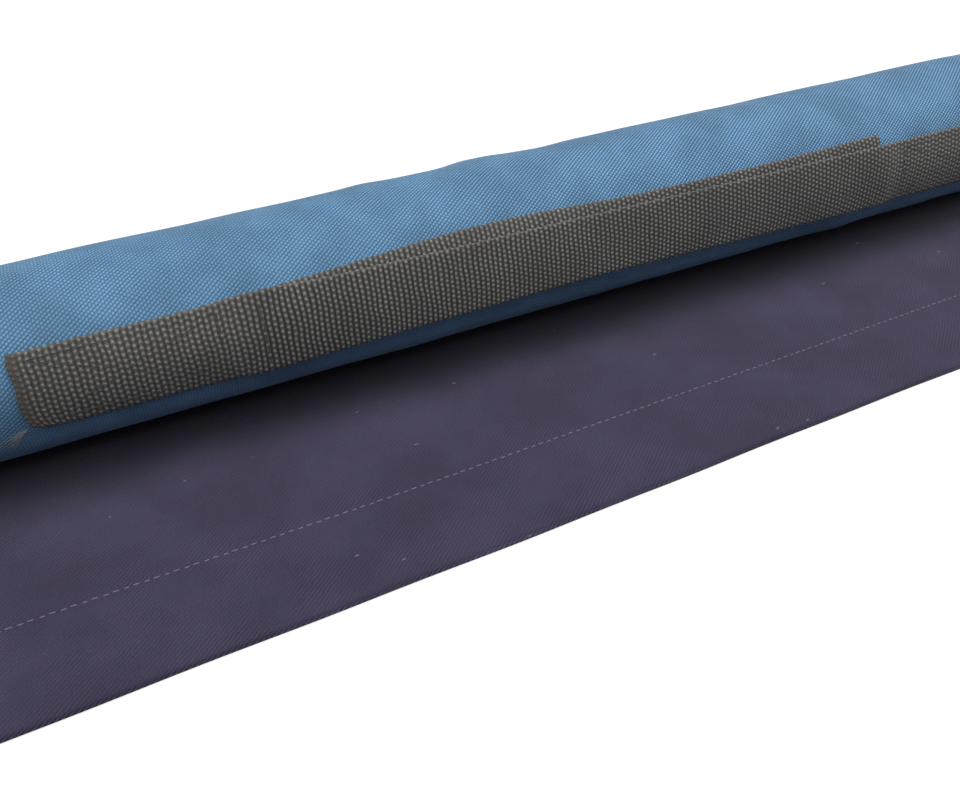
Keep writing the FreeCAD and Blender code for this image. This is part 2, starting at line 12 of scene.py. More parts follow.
import bpy
import numpy as np
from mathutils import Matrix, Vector


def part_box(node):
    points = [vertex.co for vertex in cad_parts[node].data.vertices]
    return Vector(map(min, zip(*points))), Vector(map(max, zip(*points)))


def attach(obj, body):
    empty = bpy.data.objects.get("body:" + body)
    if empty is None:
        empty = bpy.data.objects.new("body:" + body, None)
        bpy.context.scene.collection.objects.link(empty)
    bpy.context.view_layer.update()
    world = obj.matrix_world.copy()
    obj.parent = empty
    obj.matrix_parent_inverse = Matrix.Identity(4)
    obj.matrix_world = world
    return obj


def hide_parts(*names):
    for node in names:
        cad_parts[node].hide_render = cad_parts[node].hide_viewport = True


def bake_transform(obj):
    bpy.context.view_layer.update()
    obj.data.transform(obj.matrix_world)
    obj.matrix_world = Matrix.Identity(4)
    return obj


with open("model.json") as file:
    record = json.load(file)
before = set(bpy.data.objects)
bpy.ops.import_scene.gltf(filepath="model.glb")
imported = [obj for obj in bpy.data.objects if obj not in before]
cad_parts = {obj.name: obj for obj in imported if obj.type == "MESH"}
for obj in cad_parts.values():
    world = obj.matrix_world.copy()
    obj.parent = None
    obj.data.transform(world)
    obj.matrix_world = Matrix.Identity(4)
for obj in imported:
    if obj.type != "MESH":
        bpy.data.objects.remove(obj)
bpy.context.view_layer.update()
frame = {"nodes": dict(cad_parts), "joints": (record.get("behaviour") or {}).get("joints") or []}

MM = 0.001
cover_low, cover_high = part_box("outer_cover")
COVER_RADIUS = (cover_high.z - cover_low.z) / 2
AXIS_Z = (cover_high.z + cover_low.z) / 2
BASE_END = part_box("base_cover")[0].x
LID_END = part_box("lid_top_cover")[1].x
JOINTS = {joint["name"]: joint for joint in frame["joints"]}
ZIP_LINE = JOINTS["lid_hinge"]["pos_m"][0]
STRAP_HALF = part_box("strap_end_right")[1].x
GRIP_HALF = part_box("handle_backing_strap")[1].x
print("tube radius", round(COVER_RADIUS / MM, 2), "mm, axis at", round(AXIS_Z / MM, 2), "mm")

# %% [markdown]
# ## Camera
# The photograph's view was worked out from the tube's two edges and the webbing, which is 23.5 mm
# wide. The lens and the distance can't be told apart in one picture, so a plain 37.5 mm lens was
# chosen, and the camera's place and aim follow from it. There is no roll, shift or depth of field.

# %% Camera
CAMERA_PLACE = (-0.1593, -0.2618, 0.2023)
CAMERA_YAW = math.radians(25.77)
CAMERA_PITCH = math.radians(39.84)
LENS_MM = 37.5

aim = Vector((math.sin(CAMERA_YAW) * math.cos(CAMERA_PITCH),
              math.cos(CAMERA_YAW) * math.cos(CAMERA_PITCH),
              -math.sin(CAMERA_PITCH)))
bpy.ops.object.select_all(action="DESELECT")
bpy.ops.object.camera_add(location=CAMERA_PLACE)
camera = bpy.context.object
camera.name = "photo_camera"
camera.rotation_mode = "QUATERNION"
camera.rotation_quaternion = aim.to_track_quat("-Z", "Y")
camera.data.lens = LENS_MM
camera.data.clip_start = 0.01
bpy.context.scene.camera = camera
print("camera looks along", [round(value, 3) for value in aim])

# %% [markdown]
# ## Helpers for nodes
# Every finish here is a small tree of shader nodes. Writing each node out by hand takes many
# lines, so one helper adds a node and fills its inputs. An input that is given as another node's
# output is linked, and anything else is set as a plain value.

# %% Helpers for nodes
def add_node(tree, kind, inputs=None, **settings):
    """Adds a shader node, sets its options, and links or fills its inputs."""
    made = tree.nodes.new(kind)
    for name, value in settings.items():
        setattr(made, name, value)
    for key, value in (inputs or {}).items():
        if isinstance(value, bpy.types.NodeSocket):
            tree.links.new(value, made.inputs[key])
        else:
            made.inputs[key].default_value = value
    return made


def math_node(tree, operation, first, second=0.0, third=0.0, clamp=False):
    """The result of one sum on up to three values."""
    made = add_node(tree, "ShaderNodeMath", {0: first, 1: second, 2: third},
                    operation=operation, use_clamp=clamp)
    return made.outputs[0]


def ramp(tree, value, low, high, to_low=0.0, to_high=1.0):
    """A value rescaled smoothly from one range to another."""
    made = add_node(tree, "ShaderNodeMapRange",
                    {0: value, 1: low, 2: high, 3: to_low, 4: to_high},
                    interpolation_type="SMOOTHSTEP")
    return made.outputs[0]


def mix_colours(tree, share, first, second, blend="MIX"):
    """Two colours mixed by a share."""
    made = add_node(tree, "ShaderNodeMix", {0: share, 6: first, 7: second},
                    data_type="RGBA", blend_type=blend)
    return made.outputs[2]


def noise(tree, place, scale, detail=2.0, roughness=0.5):
    """Soft noise at a place that is given in millimetres."""
    made = add_node(tree, "ShaderNodeTexNoise",
                    {"Vector": place, "Scale": scale, "Detail": detail, "Roughness": roughness})
    return made.outputs[0]


print("node helpers:", ", ".join(helper.__name__ for helper in (add_node, math_node, ramp,
                                                               mix_colours, noise)))

# %% [markdown]
# Colours are written as red, green and blue. Most finishes need a darker or lighter form of one
# colour, and they all start from a plain surface shader and end in a little relief, so these
# steps are helpers too. Relief depths are in millimetres.

# %% Helpers for finishes
def rgb(red, green, blue):
    """A colour with full alpha."""
    return (red, green, blue, 1.0)


def shade_of(colour, share):
    """The same colour, made darker or lighter."""
    return rgb(*[value * share for value in colour[:3]])


def toned(tree, colour, tone):
    """A colour that a pattern makes darker and lighter from place to place."""
    made = add_node(tree, "ShaderNodeVectorMath", {0: colour, 3: tone}, operation="SCALE")
    return made.outputs[0]


def new_material(name, roughness=0.8, sheen=0.0, metallic=0.0, specular=0.5):
    """A material with a plain surface shader, its tree and that shader."""
    material = bpy.data.materials.new(name)
    material.use_nodes = True
    tree = material.node_tree
    surface = tree.nodes["Principled BSDF"]
    surface.inputs["Roughness"].default_value = roughness
    surface.inputs["Sheen Weight"].default_value = sheen
    surface.inputs["Sheen Roughness"].default_value = 0.5
    surface.inputs["Metallic"].default_value = metallic
    surface.inputs["Specular IOR Level"].default_value = specular
    return material, tree, surface


def bump(tree, surface, height, depth_mm, strength=1.0):
    """Raises the surface by a height pattern, to a depth in millimetres."""
    made = add_node(tree, "ShaderNodeBump",
                    {"Strength": strength, "Distance": depth_mm * MM, "Height": height})
    tree.links.new(made.outputs[0], surface.inputs["Normal"])


print("half of white is", shade_of(rgb(1, 1, 1), 0.5))

# %% [markdown]
# ## Where a weave lies on a piece
# Real cloth carries its weave with it. Each cloth piece is cut flat, and its flat places are kept
# as a UV map in metres before it is rolled round the tube, so that the threads follow the cloth
# everywhere. The CAD rings have no such map. For them, the same two numbers are worked out from
# the object's own coordinates, as the way along the tube and the way round it.

# %% Places on a piece, in millimetres
def cloth_place(tree):
    """The flat place on a cut piece: along, across, and both as one vector."""
    uv = add_node(tree, "ShaderNodeUVMap", uv_map="cloth")
    scaled = add_node(tree, "ShaderNodeVectorMath", {0: uv.outputs[0], 3: 1 / MM},
                      operation="SCALE")
    parts = add_node(tree, "ShaderNodeSeparateXYZ", {0: scaled.outputs[0]})
    return parts.outputs[0], parts.outputs[1], scaled.outputs[0]


def tube_place(tree):
    """The same for a ring round the tube, from the object's own coordinates."""
    where = add_node(tree, "ShaderNodeTexCoord")
    scaled = add_node(tree, "ShaderNodeVectorMath", {0: where.outputs["Object"], 3: 1 / MM},
                      operation="SCALE")
    parts = add_node(tree, "ShaderNodeSeparateXYZ", {0: scaled.outputs[0]})
    height = math_node(tree, "SUBTRACT", parts.outputs[2], AXIS_Z / MM)
    angle = math_node(tree, "ARCTAN2", parts.outputs[1], height)
    around = math_node(tree, "MULTIPLY", angle, COVER_RADIUS / MM)
    return parts.outputs[0], around, scaled.outputs[0]


def wave(tree, value, period):
    """A cosine wave with its period in millimetres."""
    return math_node(tree, "COSINE", math_node(tree, "MULTIPLY", value, math.tau / period))


print("once round the tube is", round(math.tau * COVER_RADIUS / MM, 1), "mm of cloth")

# %% [markdown]
# ## Blue woven cloth
# The cover is a plain weave: each thread goes over one and under the next, which looks like a fine
# chequerboard. In the photograph its pitch is 0.86 mm along the tube and 0.63 mm round it. Two
# cosine waves multiplied give that board. The same board moved by half a pitch both ways, added at
# a third of the strength, makes the threads lean, so that faint diagonal lines show as they do on
# the real cloth. Noise bends the threads a little, and slower noise makes the soft lighter and
# darker patches of cloth that has been carried about. The weave is faintest round the handle's
# left end.

# %% Blue cloth
WEAVE_ALONG = 0.86
WEAVE_ROUND = 0.63
WEAVE_DEPTH = 0.10
LEAN = 0.32
BLUE_LIGHT = rgb(0.245, 0.500, 0.775)
BLUE_DARK = rgb(0.022, 0.075, 0.165)
FAINT_PLACE = -150
FAINT_NEAR, FAINT_FAR = 30, 190
FAINT_STRENGTH, FULL_STRENGTH = 0.55, 0.88


def board(tree, along, around):
    """A chequerboard of soft squares at the weave's pitch."""
    return math_node(tree, "MULTIPLY", wave(tree, along, 2 * WEAVE_ALONG),
                     wave(tree, around, 2 * WEAVE_ROUND))


def plain_weave(name, light, dark):
    """A plain weave in two tones of one colour."""
    material, tree, surface = new_material(name, roughness=0.75, sheen=0.12, specular=0.3)
    along, around, where = cloth_place(tree)
    drift = noise(tree, where, 0.35)
    along = math_node(tree, "ADD", along, math_node(tree, "MULTIPLY", drift, 0.9))
    around = math_node(tree, "ADD", around, math_node(tree, "MULTIPLY", drift, 0.7))
    leaning = board(tree, math_node(tree, "ADD", along, WEAVE_ALONG / 2),
                    math_node(tree, "ADD", around, WEAVE_ROUND / 2))
    yarns = math_node(tree, "MULTIPLY", wave(tree, along, WEAVE_ALONG), 0.30)
    height = math_node(tree, "ADD", board(tree, along, around), yarns)
    height = math_node(tree, "ADD", height, math_node(tree, "MULTIPLY", leaning, LEAN))
    from_faint = math_node(tree, "ABSOLUTE", math_node(tree, "SUBTRACT", along, FAINT_PLACE))
    strength = ramp(tree, from_faint, FAINT_NEAR, FAINT_FAR, FAINT_STRENGTH, FULL_STRENGTH)
    height = math_node(tree, "MULTIPLY", height, strength)
    fibre = noise(tree, where, 2.4, 3.0, 0.7)
    weave = mix_colours(tree, ramp(tree, height, -1.0, 1.25), dark, light)
    fine = ramp(tree, fibre, 0.3, 0.7, 0.80, 1.20)
    patches = ramp(tree, noise(tree, where, 0.045, 3.0, 0.6), 0.32, 0.68, 0.86, 1.13)
    shade = math_node(tree, "MULTIPLY", fine, patches)
    tree.links.new(toned(tree, weave, shade), surface.inputs["Base Color"])
    fuzz = math_node(tree, "MULTIPLY", fibre, 0.5)
    bump(tree, surface, math_node(tree, "ADD", height, fuzz), WEAVE_DEPTH)
    return material


blue_cloth = plain_weave("blue_cloth", BLUE_LIGHT, BLUE_DARK)
print("blue weave", WEAVE_ALONG, "by", WEAVE_ROUND, "mm")

# %% [markdown]
# ## Webbing
# Handle webbing has cross ribs, 1.67 mm apart. On each rib the threads come up as a row of dots,
# and the dots of one rib stand between those of the next. Where the strap is sewn down its dots
# lean to and fro, like a fishbone. A ping-pong wave of the way along shifts the rows to and fro,
# and a mask makes that shift sharp on the grip and even on the sewn ends. The woven edges are a
# little greyer. The cut end was sealed with heat, so it is browner.

# %% Webbing
RIB_PITCH = 1.667
DOT_PITCH = 1.66
WEBBING_LIGHT = rgb(0.285, 0.278, 0.258)
WEBBING_DARK = rgb(0.014, 0.0135, 0.0135)
SEALED_BROWN = rgb(0.075, 0.063, 0.055)
SELVEDGE = rgb(0.175, 0.168, 0.155)
SELVEDGE_FROM, SELVEDGE_TO = 10.9, 11.6


def webbing(name):
    """Ribbed webbing with dots on its ribs, and a heat-sealed left end."""
    material, tree, surface = new_material(name, roughness=0.62, sheen=0.10, specular=0.35)
    along, across, where = cloth_place(tree)
    drift = noise(tree, where, 0.12, 2.0)
    along_soft = math_node(tree, "ADD", along, math_node(tree, "MULTIPLY", drift, 1.3))
    sewn = ramp(tree, math_node(tree, "ABSOLUTE", along), GRIP_HALF / MM - 6, GRIP_HALF / MM + 6)
    zigzag = math_node(tree, "DIVIDE", math_node(tree, "PINGPONG", along_soft, RIB_PITCH),
                       RIB_PITCH)
    stepped = ramp(tree, zigzag, 0.30, 0.70)
    turn = add_node(tree, "ShaderNodeMix", {0: sewn, 2: stepped, 3: zigzag}).outputs[0]
    row = math_node(tree, "ADD", across, math_node(tree, "MULTIPLY", turn, DOT_PITCH / 2))
    dots = ramp(tree, wave(tree, row, DOT_PITCH), -0.75, 0.95)
    rib = ramp(tree, wave(tree, along_soft, RIB_PITCH), -0.9, 0.8)
    soft_rib = math_node(tree, "MULTIPLY_ADD", rib, 0.86, 0.14)
    rib = add_node(tree, "ShaderNodeMix", {0: sewn, 2: rib, 3: soft_rib}).outputs[0]
    fibre = noise(tree, where, 1.9, 3.0, 0.7)
    dot_share = ramp(tree, along, -60, 50, 0.62, 0.82)
    base = math_node(tree, "SUBTRACT", 1.0, dot_share)
    lifted = math_node(tree, "MULTIPLY_ADD", dots, dot_share, base)
    height = math_node(tree, "MULTIPLY", rib, lifted)
    wear_and_fold_light = ramp(tree, fibre, 0.25, 0.75, 0.6, 1.2)
    share = math_node(tree, "MULTIPLY", height, wear_and_fold_light, clamp=True)
    colour = mix_colours(tree, share, WEBBING_DARK, WEBBING_LIGHT)
    from_middle = math_node(tree, "ABSOLUTE", across)
    edge = ramp(tree, from_middle, SELVEDGE_FROM, SELVEDGE_TO, 0.0, 0.32)
    colour = mix_colours(tree, edge, colour, SELVEDGE)
    end = ramp(tree, along, -STRAP_HALF / MM + 0.3, -STRAP_HALF / MM + 2.6, 0.8, 0.0)
    colour = mix_colours(tree, end, colour, SEALED_BROWN)
    patches = ramp(tree, noise(tree, where, 0.06, 3.0, 0.6), 0.3, 0.7, 0.84, 1.14)
    tree.links.new(toned(tree, colour, patches), surface.inputs["Base Color"])
    bump(tree, surface, height, 0.28)
    return material


strap_webbing = webbing("strap_webbing")
print("webbing ribs", RIB_PITCH, "mm apart")

# %% [markdown]
# ## Dark twill for the sleeve
# The sleeve is a soft, thin twill, whose fine diagonal lines only just show. It is a purple grey,
# a little bluer in places, with pale specks of lint. The specks are the centres of a few cells of
# a cell pattern, picked at random and stretched. Near the tube its colour is darkened by painted
# shade for the tube's shadow. Along the front fold its colour is lightened by a painted highlight.

# %% Twill
SLEEVE_TURN = math.radians(1.44)
SLEEVE_FRONT_Y = -0.1003
TWILL_PITCH = 1.0
CROSS_PITCH = 0.42
TWILL_ANGLE = math.radians(52)
PAINTED_SHADE_FROM, PAINTED_SHADE_TO = -0.044, -0.020
PAINTED_FOLD_LIGHT_DEPTH = 1.2 * MM
LINT_STRETCH = (0.09, 0.30, 0.15)
TWILL_LIGHT = rgb(0.070, 0.060, 0.108)
TWILL_DARK = rgb(0.036, 0.030, 0.060)
LINT = rgb(0.34, 0.33, 0.38)


def twill(name):
    """Fine twill with lint on it."""
    material, tree, surface = new_material(name, roughness=0.9, sheen=0.15, specular=0.2)
    along, across, where = cloth_place(tree)
    slope = math_node(tree, "SUBTRACT", math_node(tree, "MULTIPLY", along, math.cos(TWILL_ANGLE)),
                      math_node(tree, "MULTIPLY", across, math.sin(TWILL_ANGLE)))
    drift = math_node(tree, "MULTIPLY", noise(tree, where, 0.25, 2.0), 0.8)
    lines = wave(tree, math_node(tree, "ADD", slope, drift), TWILL_PITCH)
    lines = math_node(tree, "MULTIPLY", lines,
                      ramp(tree, noise(tree, where, 0.05, 2.0), 0.35, 0.65, 0.25, 1.1))
    cross = wave(tree, along, CROSS_PITCH)
    height = math_node(tree, "ADD", lines, math_node(tree, "MULTIPLY", cross, 0.35))
    fibre = noise(tree, where, 2.2, 3.0, 0.7)
    colour = mix_colours(tree, ramp(tree, height, -2.4, 2.4), TWILL_DARK, TWILL_LIGHT)
    patches = ramp(tree, noise(tree, where, 0.03, 4.0, 0.6), 0.3, 0.7, 0.84, 1.16)
    shade = math_node(tree, "MULTIPLY", patches, ramp(tree, fibre, 0.25, 0.75, 0.72, 1.28))
    spot = add_node(tree, "ShaderNodeTexCoord")
    axes = add_node(tree, "ShaderNodeSeparateXYZ", {0: spot.outputs["Object"]})
    # Painted shade: the cloth's colour is made darker towards the tube, standing in for the tube's
    # shadow.
    painted_tube_shade = ramp(tree, axes.outputs["Y"], PAINTED_SHADE_FROM, PAINTED_SHADE_TO, 1.0, 0.38)
    shade = math_node(tree, "MULTIPLY", shade, painted_tube_shade)
    # Painted highlight: the colour is made lighter along the front fold, against its shaded edge.
    front_line = math_node(tree, "MULTIPLY_ADD", axes.outputs["X"], -math.tan(SLEEVE_TURN),
                           axes.outputs["Y"])
    wear_and_fold_light = ramp(tree, front_line, SLEEVE_FRONT_Y, SLEEVE_FRONT_Y + PAINTED_FOLD_LIGHT_DEPTH, 2.4, 1.0)
    shade = math_node(tree, "MULTIPLY", shade, wear_and_fold_light)
    stretched = add_node(tree, "ShaderNodeVectorMath", {0: where, 1: LINT_STRETCH},
                         operation="MULTIPLY")
    cells = add_node(tree, "ShaderNodeTexVoronoi", {"Vector": stretched.outputs[0], "Scale": 1.0})
    picked = add_node(tree, "ShaderNodeSeparateColor", {0: cells.outputs["Color"]})
    rare = ramp(tree, picked.outputs[0], 0.80, 0.82)
    near = ramp(tree, cells.outputs["Distance"], 0.05, 0.075, 1.0, 0.0)
    speck = math_node(tree, "MULTIPLY", math_node(tree, "MULTIPLY", rare, near), 0.55)
    colour = mix_colours(tree, speck, toned(tree, colour, shade), LINT)
    tree.links.new(colour, surface.inputs["Base Color"])
    bump(tree, surface, height, 0.05)
    return material


sleeve_twill = twill("sleeve_twill")
print("twill lines", TWILL_PITCH, "mm apart")

# %% [markdown]
# ## Tape and thread
# The bindings are ribbed tape, which is the webbing's pattern at a finer pitch, here with plain
# ribs alone. Thread is twisted, so fine slanting lines run along each stitch.

# %% Tape and thread
STRAND_PITCH = 0.35


def ribbed_tape(name, colour, pitch, place):
    """Woven tape with fine ribs across it."""
    material, tree, surface = new_material(name, roughness=0.7, sheen=0.15, specular=0.3)
    along, around, where = place(tree)
    ribs = wave(tree, around, pitch)
    threads = wave(tree, along, pitch * 0.7)
    height = math_node(tree, "ADD", ribs, math_node(tree, "MULTIPLY", threads, 0.4))
    woven = mix_colours(tree, ramp(tree, height, -1.2, 1.3), shade_of(colour, 0.45),
                        shade_of(colour, 1.5))
    patches = ramp(tree, noise(tree, where, 0.15, 3.0), 0.3, 0.7, 0.85, 1.15)
    tree.links.new(toned(tree, woven, patches), surface.inputs["Base Color"])
    bump(tree, surface, height, 0.08)
    return material


def twisted_thread(name, colour):
    """Thread with its strands showing as slanting lines."""
    material, tree, surface = new_material(name, roughness=0.55, sheen=0.1, specular=0.4)
    along, around = tube_place(tree)[:2]
    strands = wave(tree, math_node(tree, "ADD", along, around), STRAND_PITCH)
    twisted = mix_colours(tree, ramp(tree, strands, -1.0, 1.0), shade_of(colour, 0.55), colour)
    tree.links.new(twisted, surface.inputs["Base Color"])
    bump(tree, surface, strands, 0.04)
    return material


print("thread strands", STRAND_PITCH, "mm apart")

# %% [markdown]
# ## Plastic, foam and metal
# The moulded and extruded plastics get slow colour change and small scratches. Foam gets pores,
# from the distance to the nearest centre in a cell pattern. The slider is plated metal, and it is
# smoother and brighter in the patches where hands rub it.

# %% Plastic, foam and metal
SCRATCH_STRETCH = (0.03, 1.2, 1.2)


def worn_plastic(name, colour, roughness):
    """Plastic with slow colour change and fine scratches along it."""
    material, tree, surface = new_material(name, roughness=roughness)
    where = tube_place(tree)[2]
    stretched = add_node(tree, "ShaderNodeVectorMath", {0: where, 1: SCRATCH_STRETCH},
                         operation="MULTIPLY")
    scratches = noise(tree, stretched.outputs[0], 1.0, 4.0, 0.7)
    slow = noise(tree, where, 0.05, 3.0)
    tone = math_node(tree, "MULTIPLY", ramp(tree, slow, 0.3, 0.7, 0.88, 1.08),
                     ramp(tree, scratches, 0.3, 0.7, 0.93, 1.05))
    tree.links.new(toned(tree, colour[:3], tone), surface.inputs["Base Color"])
    tree.links.new(ramp(tree, scratches, 0.3, 0.7, roughness * 0.8, min(1.0, roughness * 1.2)),
                   surface.inputs["Roughness"])
    bump(tree, surface, scratches, 0.03)
    return material


def foam_finish(name, colour):
    """Closed foam with fine pores."""
    material, tree, surface = new_material(name, roughness=0.95, specular=0.2)
    where = tube_place(tree)[2]
    cells = add_node(tree, "ShaderNodeTexVoronoi", {"Vector": where, "Scale": 2.2})
    pores = ramp(tree, cells.outputs["Distance"], 0.1, 0.5)
    tree.links.new(mix_colours(tree, pores, shade_of(colour, 0.5), colour),
                   surface.inputs["Base Color"])
    bump(tree, surface, pores, 0.1)
    return material


def plated_metal(name, colour):
    """Plated metal that is smoother and brighter where it is rubbed."""
    material, tree, surface = new_material(name, roughness=0.32, metallic=1.0)
    where = tube_place(tree)[2]
    smears = noise(tree, where, 0.8, 4.0, 0.6)
    fine = noise(tree, where, 6.0, 2.0)
    tone = ramp(tree, smears, 0.3, 0.7, 0.75, 1.15)
    tree.links.new(toned(tree, colour[:3], tone), surface.inputs["Base Color"])
    tree.links.new(ramp(tree, smears, 0.3, 0.7, 0.42, 0.22), surface.inputs["Roughness"])
    bump(tree, surface, fine, 0.01)
    return material


binding_tape = ribbed_tape("binding_tape", rgb(0.045, 0.044, 0.046), 0.9, tube_place)
zip_tape_cloth = ribbed_tape("zip_tape_cloth", rgb(0.035, 0.035, 0.04), 0.55, tube_place)
dark_thread = twisted_thread("dark_thread", rgb(0.05, 0.05, 0.055))
sleeve_thread = twisted_thread("sleeve_thread", rgb(0.30, 0.265, 0.36))
frayed_thread = twisted_thread("frayed_thread", rgb(0.50, 0.56, 0.62))
tube_plastic = worn_plastic("tube_plastic", rgb(0.62, 0.62, 0.59), 0.45)
plug_plastic = worn_plastic("plug_plastic", rgb(0.07, 0.07, 0.075), 0.5)
coil_plastic = worn_plastic("coil_plastic", rgb(0.03, 0.03, 0.034), 0.38)
grey_foam = foam_finish("grey_foam", rgb(0.20, 0.20, 0.215))
slider_metal = plated_metal("slider_metal", rgb(0.36, 0.355, 0.35))
print("finishes:", ", ".join(material.name for material in (
    binding_tape, zip_tape_cloth, dark_thread, sleeve_thread, frayed_thread, tube_plastic,
    plug_plastic, coil_plastic, grey_foam, slider_metal)))

# %% [markdown]
# ## Working on one piece at a time
# An operator acts on everything that is selected, so each step first selects its own piece alone.
# A modifier is added and applied in one step. Shaping goes through the piece's points as one
# array, which is quick even for a fine grid.

# %% Helpers for one piece
def deselect():
    """Nothing selected, so that the next operator acts on its own piece alone."""
    bpy.ops.object.select_all(action="DESELECT")


def only(piece):
    """One piece selected and active."""
    deselect()
    piece.select_set(True)
    bpy.context.view_layer.objects.active = piece


def apply_modifier(piece, kind, **settings):
    """Adds a modifier and applies it."""
    only(piece)
    modifier = piece.modifiers.new(kind.lower(), kind)
    for name, value in settings.items():
        setattr(modifier, name, value)
    bpy.ops.object.modifier_apply(modifier=modifier.name)


def points_of(piece):
    """The piece's points as an array."""
    points = np.empty(len(piece.data.vertices) * 3)
    piece.data.vertices.foreach_get("co", points)
    return points.reshape(-1, 3)


def set_points(piece, points):
    """Puts the piece's points back."""
    piece.data.vertices.foreach_set("co", points.astype(np.float32).ravel())
    piece.data.update()


deselect()
print(len(bpy.context.selected_objects), "objects are left selected")

# %% [markdown]
# ## Cutting cloth flat and rolling it round the tube
# A cover maker cuts each piece flat and then rolls it round the tube. The same is done here. A
# grid is added at the size of the cut, with x along the tube, y round it (towards the back is
# plus) and z the height above the cover. The flat places go into a UV map, the piece gets its
# folds and its thickness, and only then is it rolled.

# %% Helpers for flat pieces
def flat_place_map(piece, first=0, second=1):
    """Keeps two of a piece's coordinates as its UV map, in metres."""
    layer = piece.data.uv_layers.get("cloth") or piece.data.uv_layers.new(name="cloth")
    corners = np.empty(len(piece.data.loops), dtype=np.int64)
    piece.data.loops.foreach_get("vertex_index", corners)
    flat = points_of(piece)[corners][:, [first, second]]
    layer.data.foreach_set("uv", flat.astype(np.float32).ravel())
    piece.data.uv_layers.active = layer


def flat_cloth(name, x_range, y_range, step):
    """A flat cut of cloth, as a grid with even squares."""
    length, width = x_range[1] - x_range[0], y_range[1] - y_range[0]
    deselect()
    bpy.ops.mesh.primitive_grid_add(
        x_subdivisions=max(2, round(length / step)), y_subdivisions=max(2, round(width / step)),
        size=1, location=(sum(x_range) / 2, sum(y_range) / 2, 0))
    piece = bpy.context.object
    piece.name = piece.data.name = name
    piece.scale = (length, width, 1)
    bpy.ops.object.transform_apply(location=True, rotation=True, scale=True)
    piece.data.uv_layers.remove(piece.data.uv_layers[0])
    flat_place_map(piece)
    return piece


def front_y(degrees):
    """The flat y of an angle that is measured from the top line towards the front."""
    return -math.radians(degrees) * COVER_RADIUS


def roll(piece):
    """Rolls a flat piece round the tube."""
    points = points_of(piece)
    angle = points[:, 1] / COVER_RADIUS
    radius = COVER_RADIUS + points[:, 2]
    rolled = np.column_stack([points[:, 0], radius * np.sin(angle),
                              AXIS_Z + radius * np.cos(angle)])
    set_points(piece, rolled)


def finish_with(piece, material):
    """Gives a piece one material in place of any that it had."""
    piece.data.materials.clear()
    piece.data.materials.append(material)


def dress(piece, material, body=None):
    """Gives a piece its finish, smooth shading and, if named, the body that it rides on."""
    finish_with(piece, material)
    only(piece)
    bpy.ops.object.shade_smooth()
    if body:
        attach(piece, body)
    return piece


print("the front of the tube is at flat y", round(front_y(90) / MM, 1), "mm")

# %% [markdown]
# ## The blue cover
# The cover is sewn a touch loose over its foam, so it has shallow folds that run slantwise round
# the tube. Two of them break the top outline in the photograph, left of the middle. Each fold is
# a low ridge or dent with a soft profile, longer than it is wide. The ones that the photograph
# shows are listed one by one, and the rest of the tube gets seeded ones of the same kind.

# %% Folds
# Each fold: along mm, degrees to the front, heading in degrees, length mm, width mm, height mm
SEEN_FOLDS = [
    (-34, -26, 62, 16, 6.0, 0.75),
    (-24, -30, 75, 12, 5.0, 0.45),
    (-4, -30, 70, 14, 7.0, -0.40),
    (-69, -24, 58, 15, 5.5, 0.50),
    (-58, 2, 35, 20, 6.5, -0.55),
    (-80, 14, 38, 17, 6.0, -0.50),
    (-50, 22, 40, 16, 6.0, 0.35),
    (-92, 34, 30, 18, 6.0, 0.35),
    (-108, 8, 25, 22, 8.0, 0.35),
    (-150, 10, 15, 26, 8.0, -0.40),
    (-162, -8, 28, 20, 7.0, 0.35),
    (22, 12, 40, 24, 8.0, -0.35),
    (64, -6, 42, 22, 8.0, -0.35),
    (98, 18, 45, 24, 9.0, 0.30),
    (128, -14, 38, 20, 8.0, -0.30),
]
LOOSE_FOLDS = 110
SEEN_ALONG, SEEN_ANGLE = (-185, 155), (-60, 130)
rng = np.random.default_rng(7)


def loose_folds():
    """Seeded folds for the parts of the tube outside the photograph."""
    folds = []
    for _ in range(LOOSE_FOLDS):
        along = rng.uniform(BASE_END / MM + 12, ZIP_LINE / MM - 22)
        angle = rng.uniform(-180, 180)
        seen = (SEEN_ALONG[0] < along < SEEN_ALONG[1]
                and SEEN_ANGLE[0] < angle < SEEN_ANGLE[1])
        heading = rng.uniform(15, 75)
        length, width = rng.uniform(12, 34), rng.uniform(4.5, 9)
        height = rng.uniform(0.2, 0.6) * rng.choice([-1, 1])
        if not seen:
            folds.append((along, angle, heading, length, width, height))
    return folds


def fold_height(points, folds):
    """How far the folds raise each flat point."""
    along, around = points[:, 0] / MM, points[:, 1] / MM
    turn = math.tau * COVER_RADIUS / MM
    raised = np.zeros(len(points))
    for x, degrees, heading, length, width, height in folds:
        dx = along - x
        dy = around - front_y(degrees) / MM
        dy = (dy + turn / 2) % turn - turn / 2
        c, s = math.cos(math.radians(heading)), math.sin(math.radians(heading))
        lengthwise, sidewise = dx * c + dy * s, -dx * s + dy * c
        raised += height * np.exp(-(lengthwise / length) ** 2 - (sidewise / width) ** 2)
    return raised * MM


FOLDS = SEEN_FOLDS + loose_folds()
print(len(FOLDS), "folds")

# %% [markdown]
# Between the folds, cloth is never quite even. A few sine waves that cross at seeded pitches and
# phases give very shallow waves. Each makes a whole number of turns round the tube, so that the
# two edges of the cut still meet at the seam. The straps and the hinge use the same waves.

# %% Soft waves
CROSSING_WAVES = 9


def soft_waves(points, size_mm, height_mm, seed):
    """Very shallow, seeded waves from a few crossing sines."""
    waves = np.random.default_rng(seed)
    total = np.zeros(len(points))
    radius = COVER_RADIUS / MM
    for _ in range(CROSSING_WAVES):
        rounds = waves.integers(1, max(2, round(math.tau * radius / size_mm)))
        pitch = waves.uniform(0.7, 2.2) * size_mm
        phase = waves.uniform(0, math.tau)
        total += np.sin(math.tau * points[:, 0] / MM / pitch + rounds * points[:, 1] / MM / radius
                        + phase)
    return total / CROSSING_WAVES * height_mm * MM


print(CROSSING_WAVES, "waves cross on each piece of cloth")

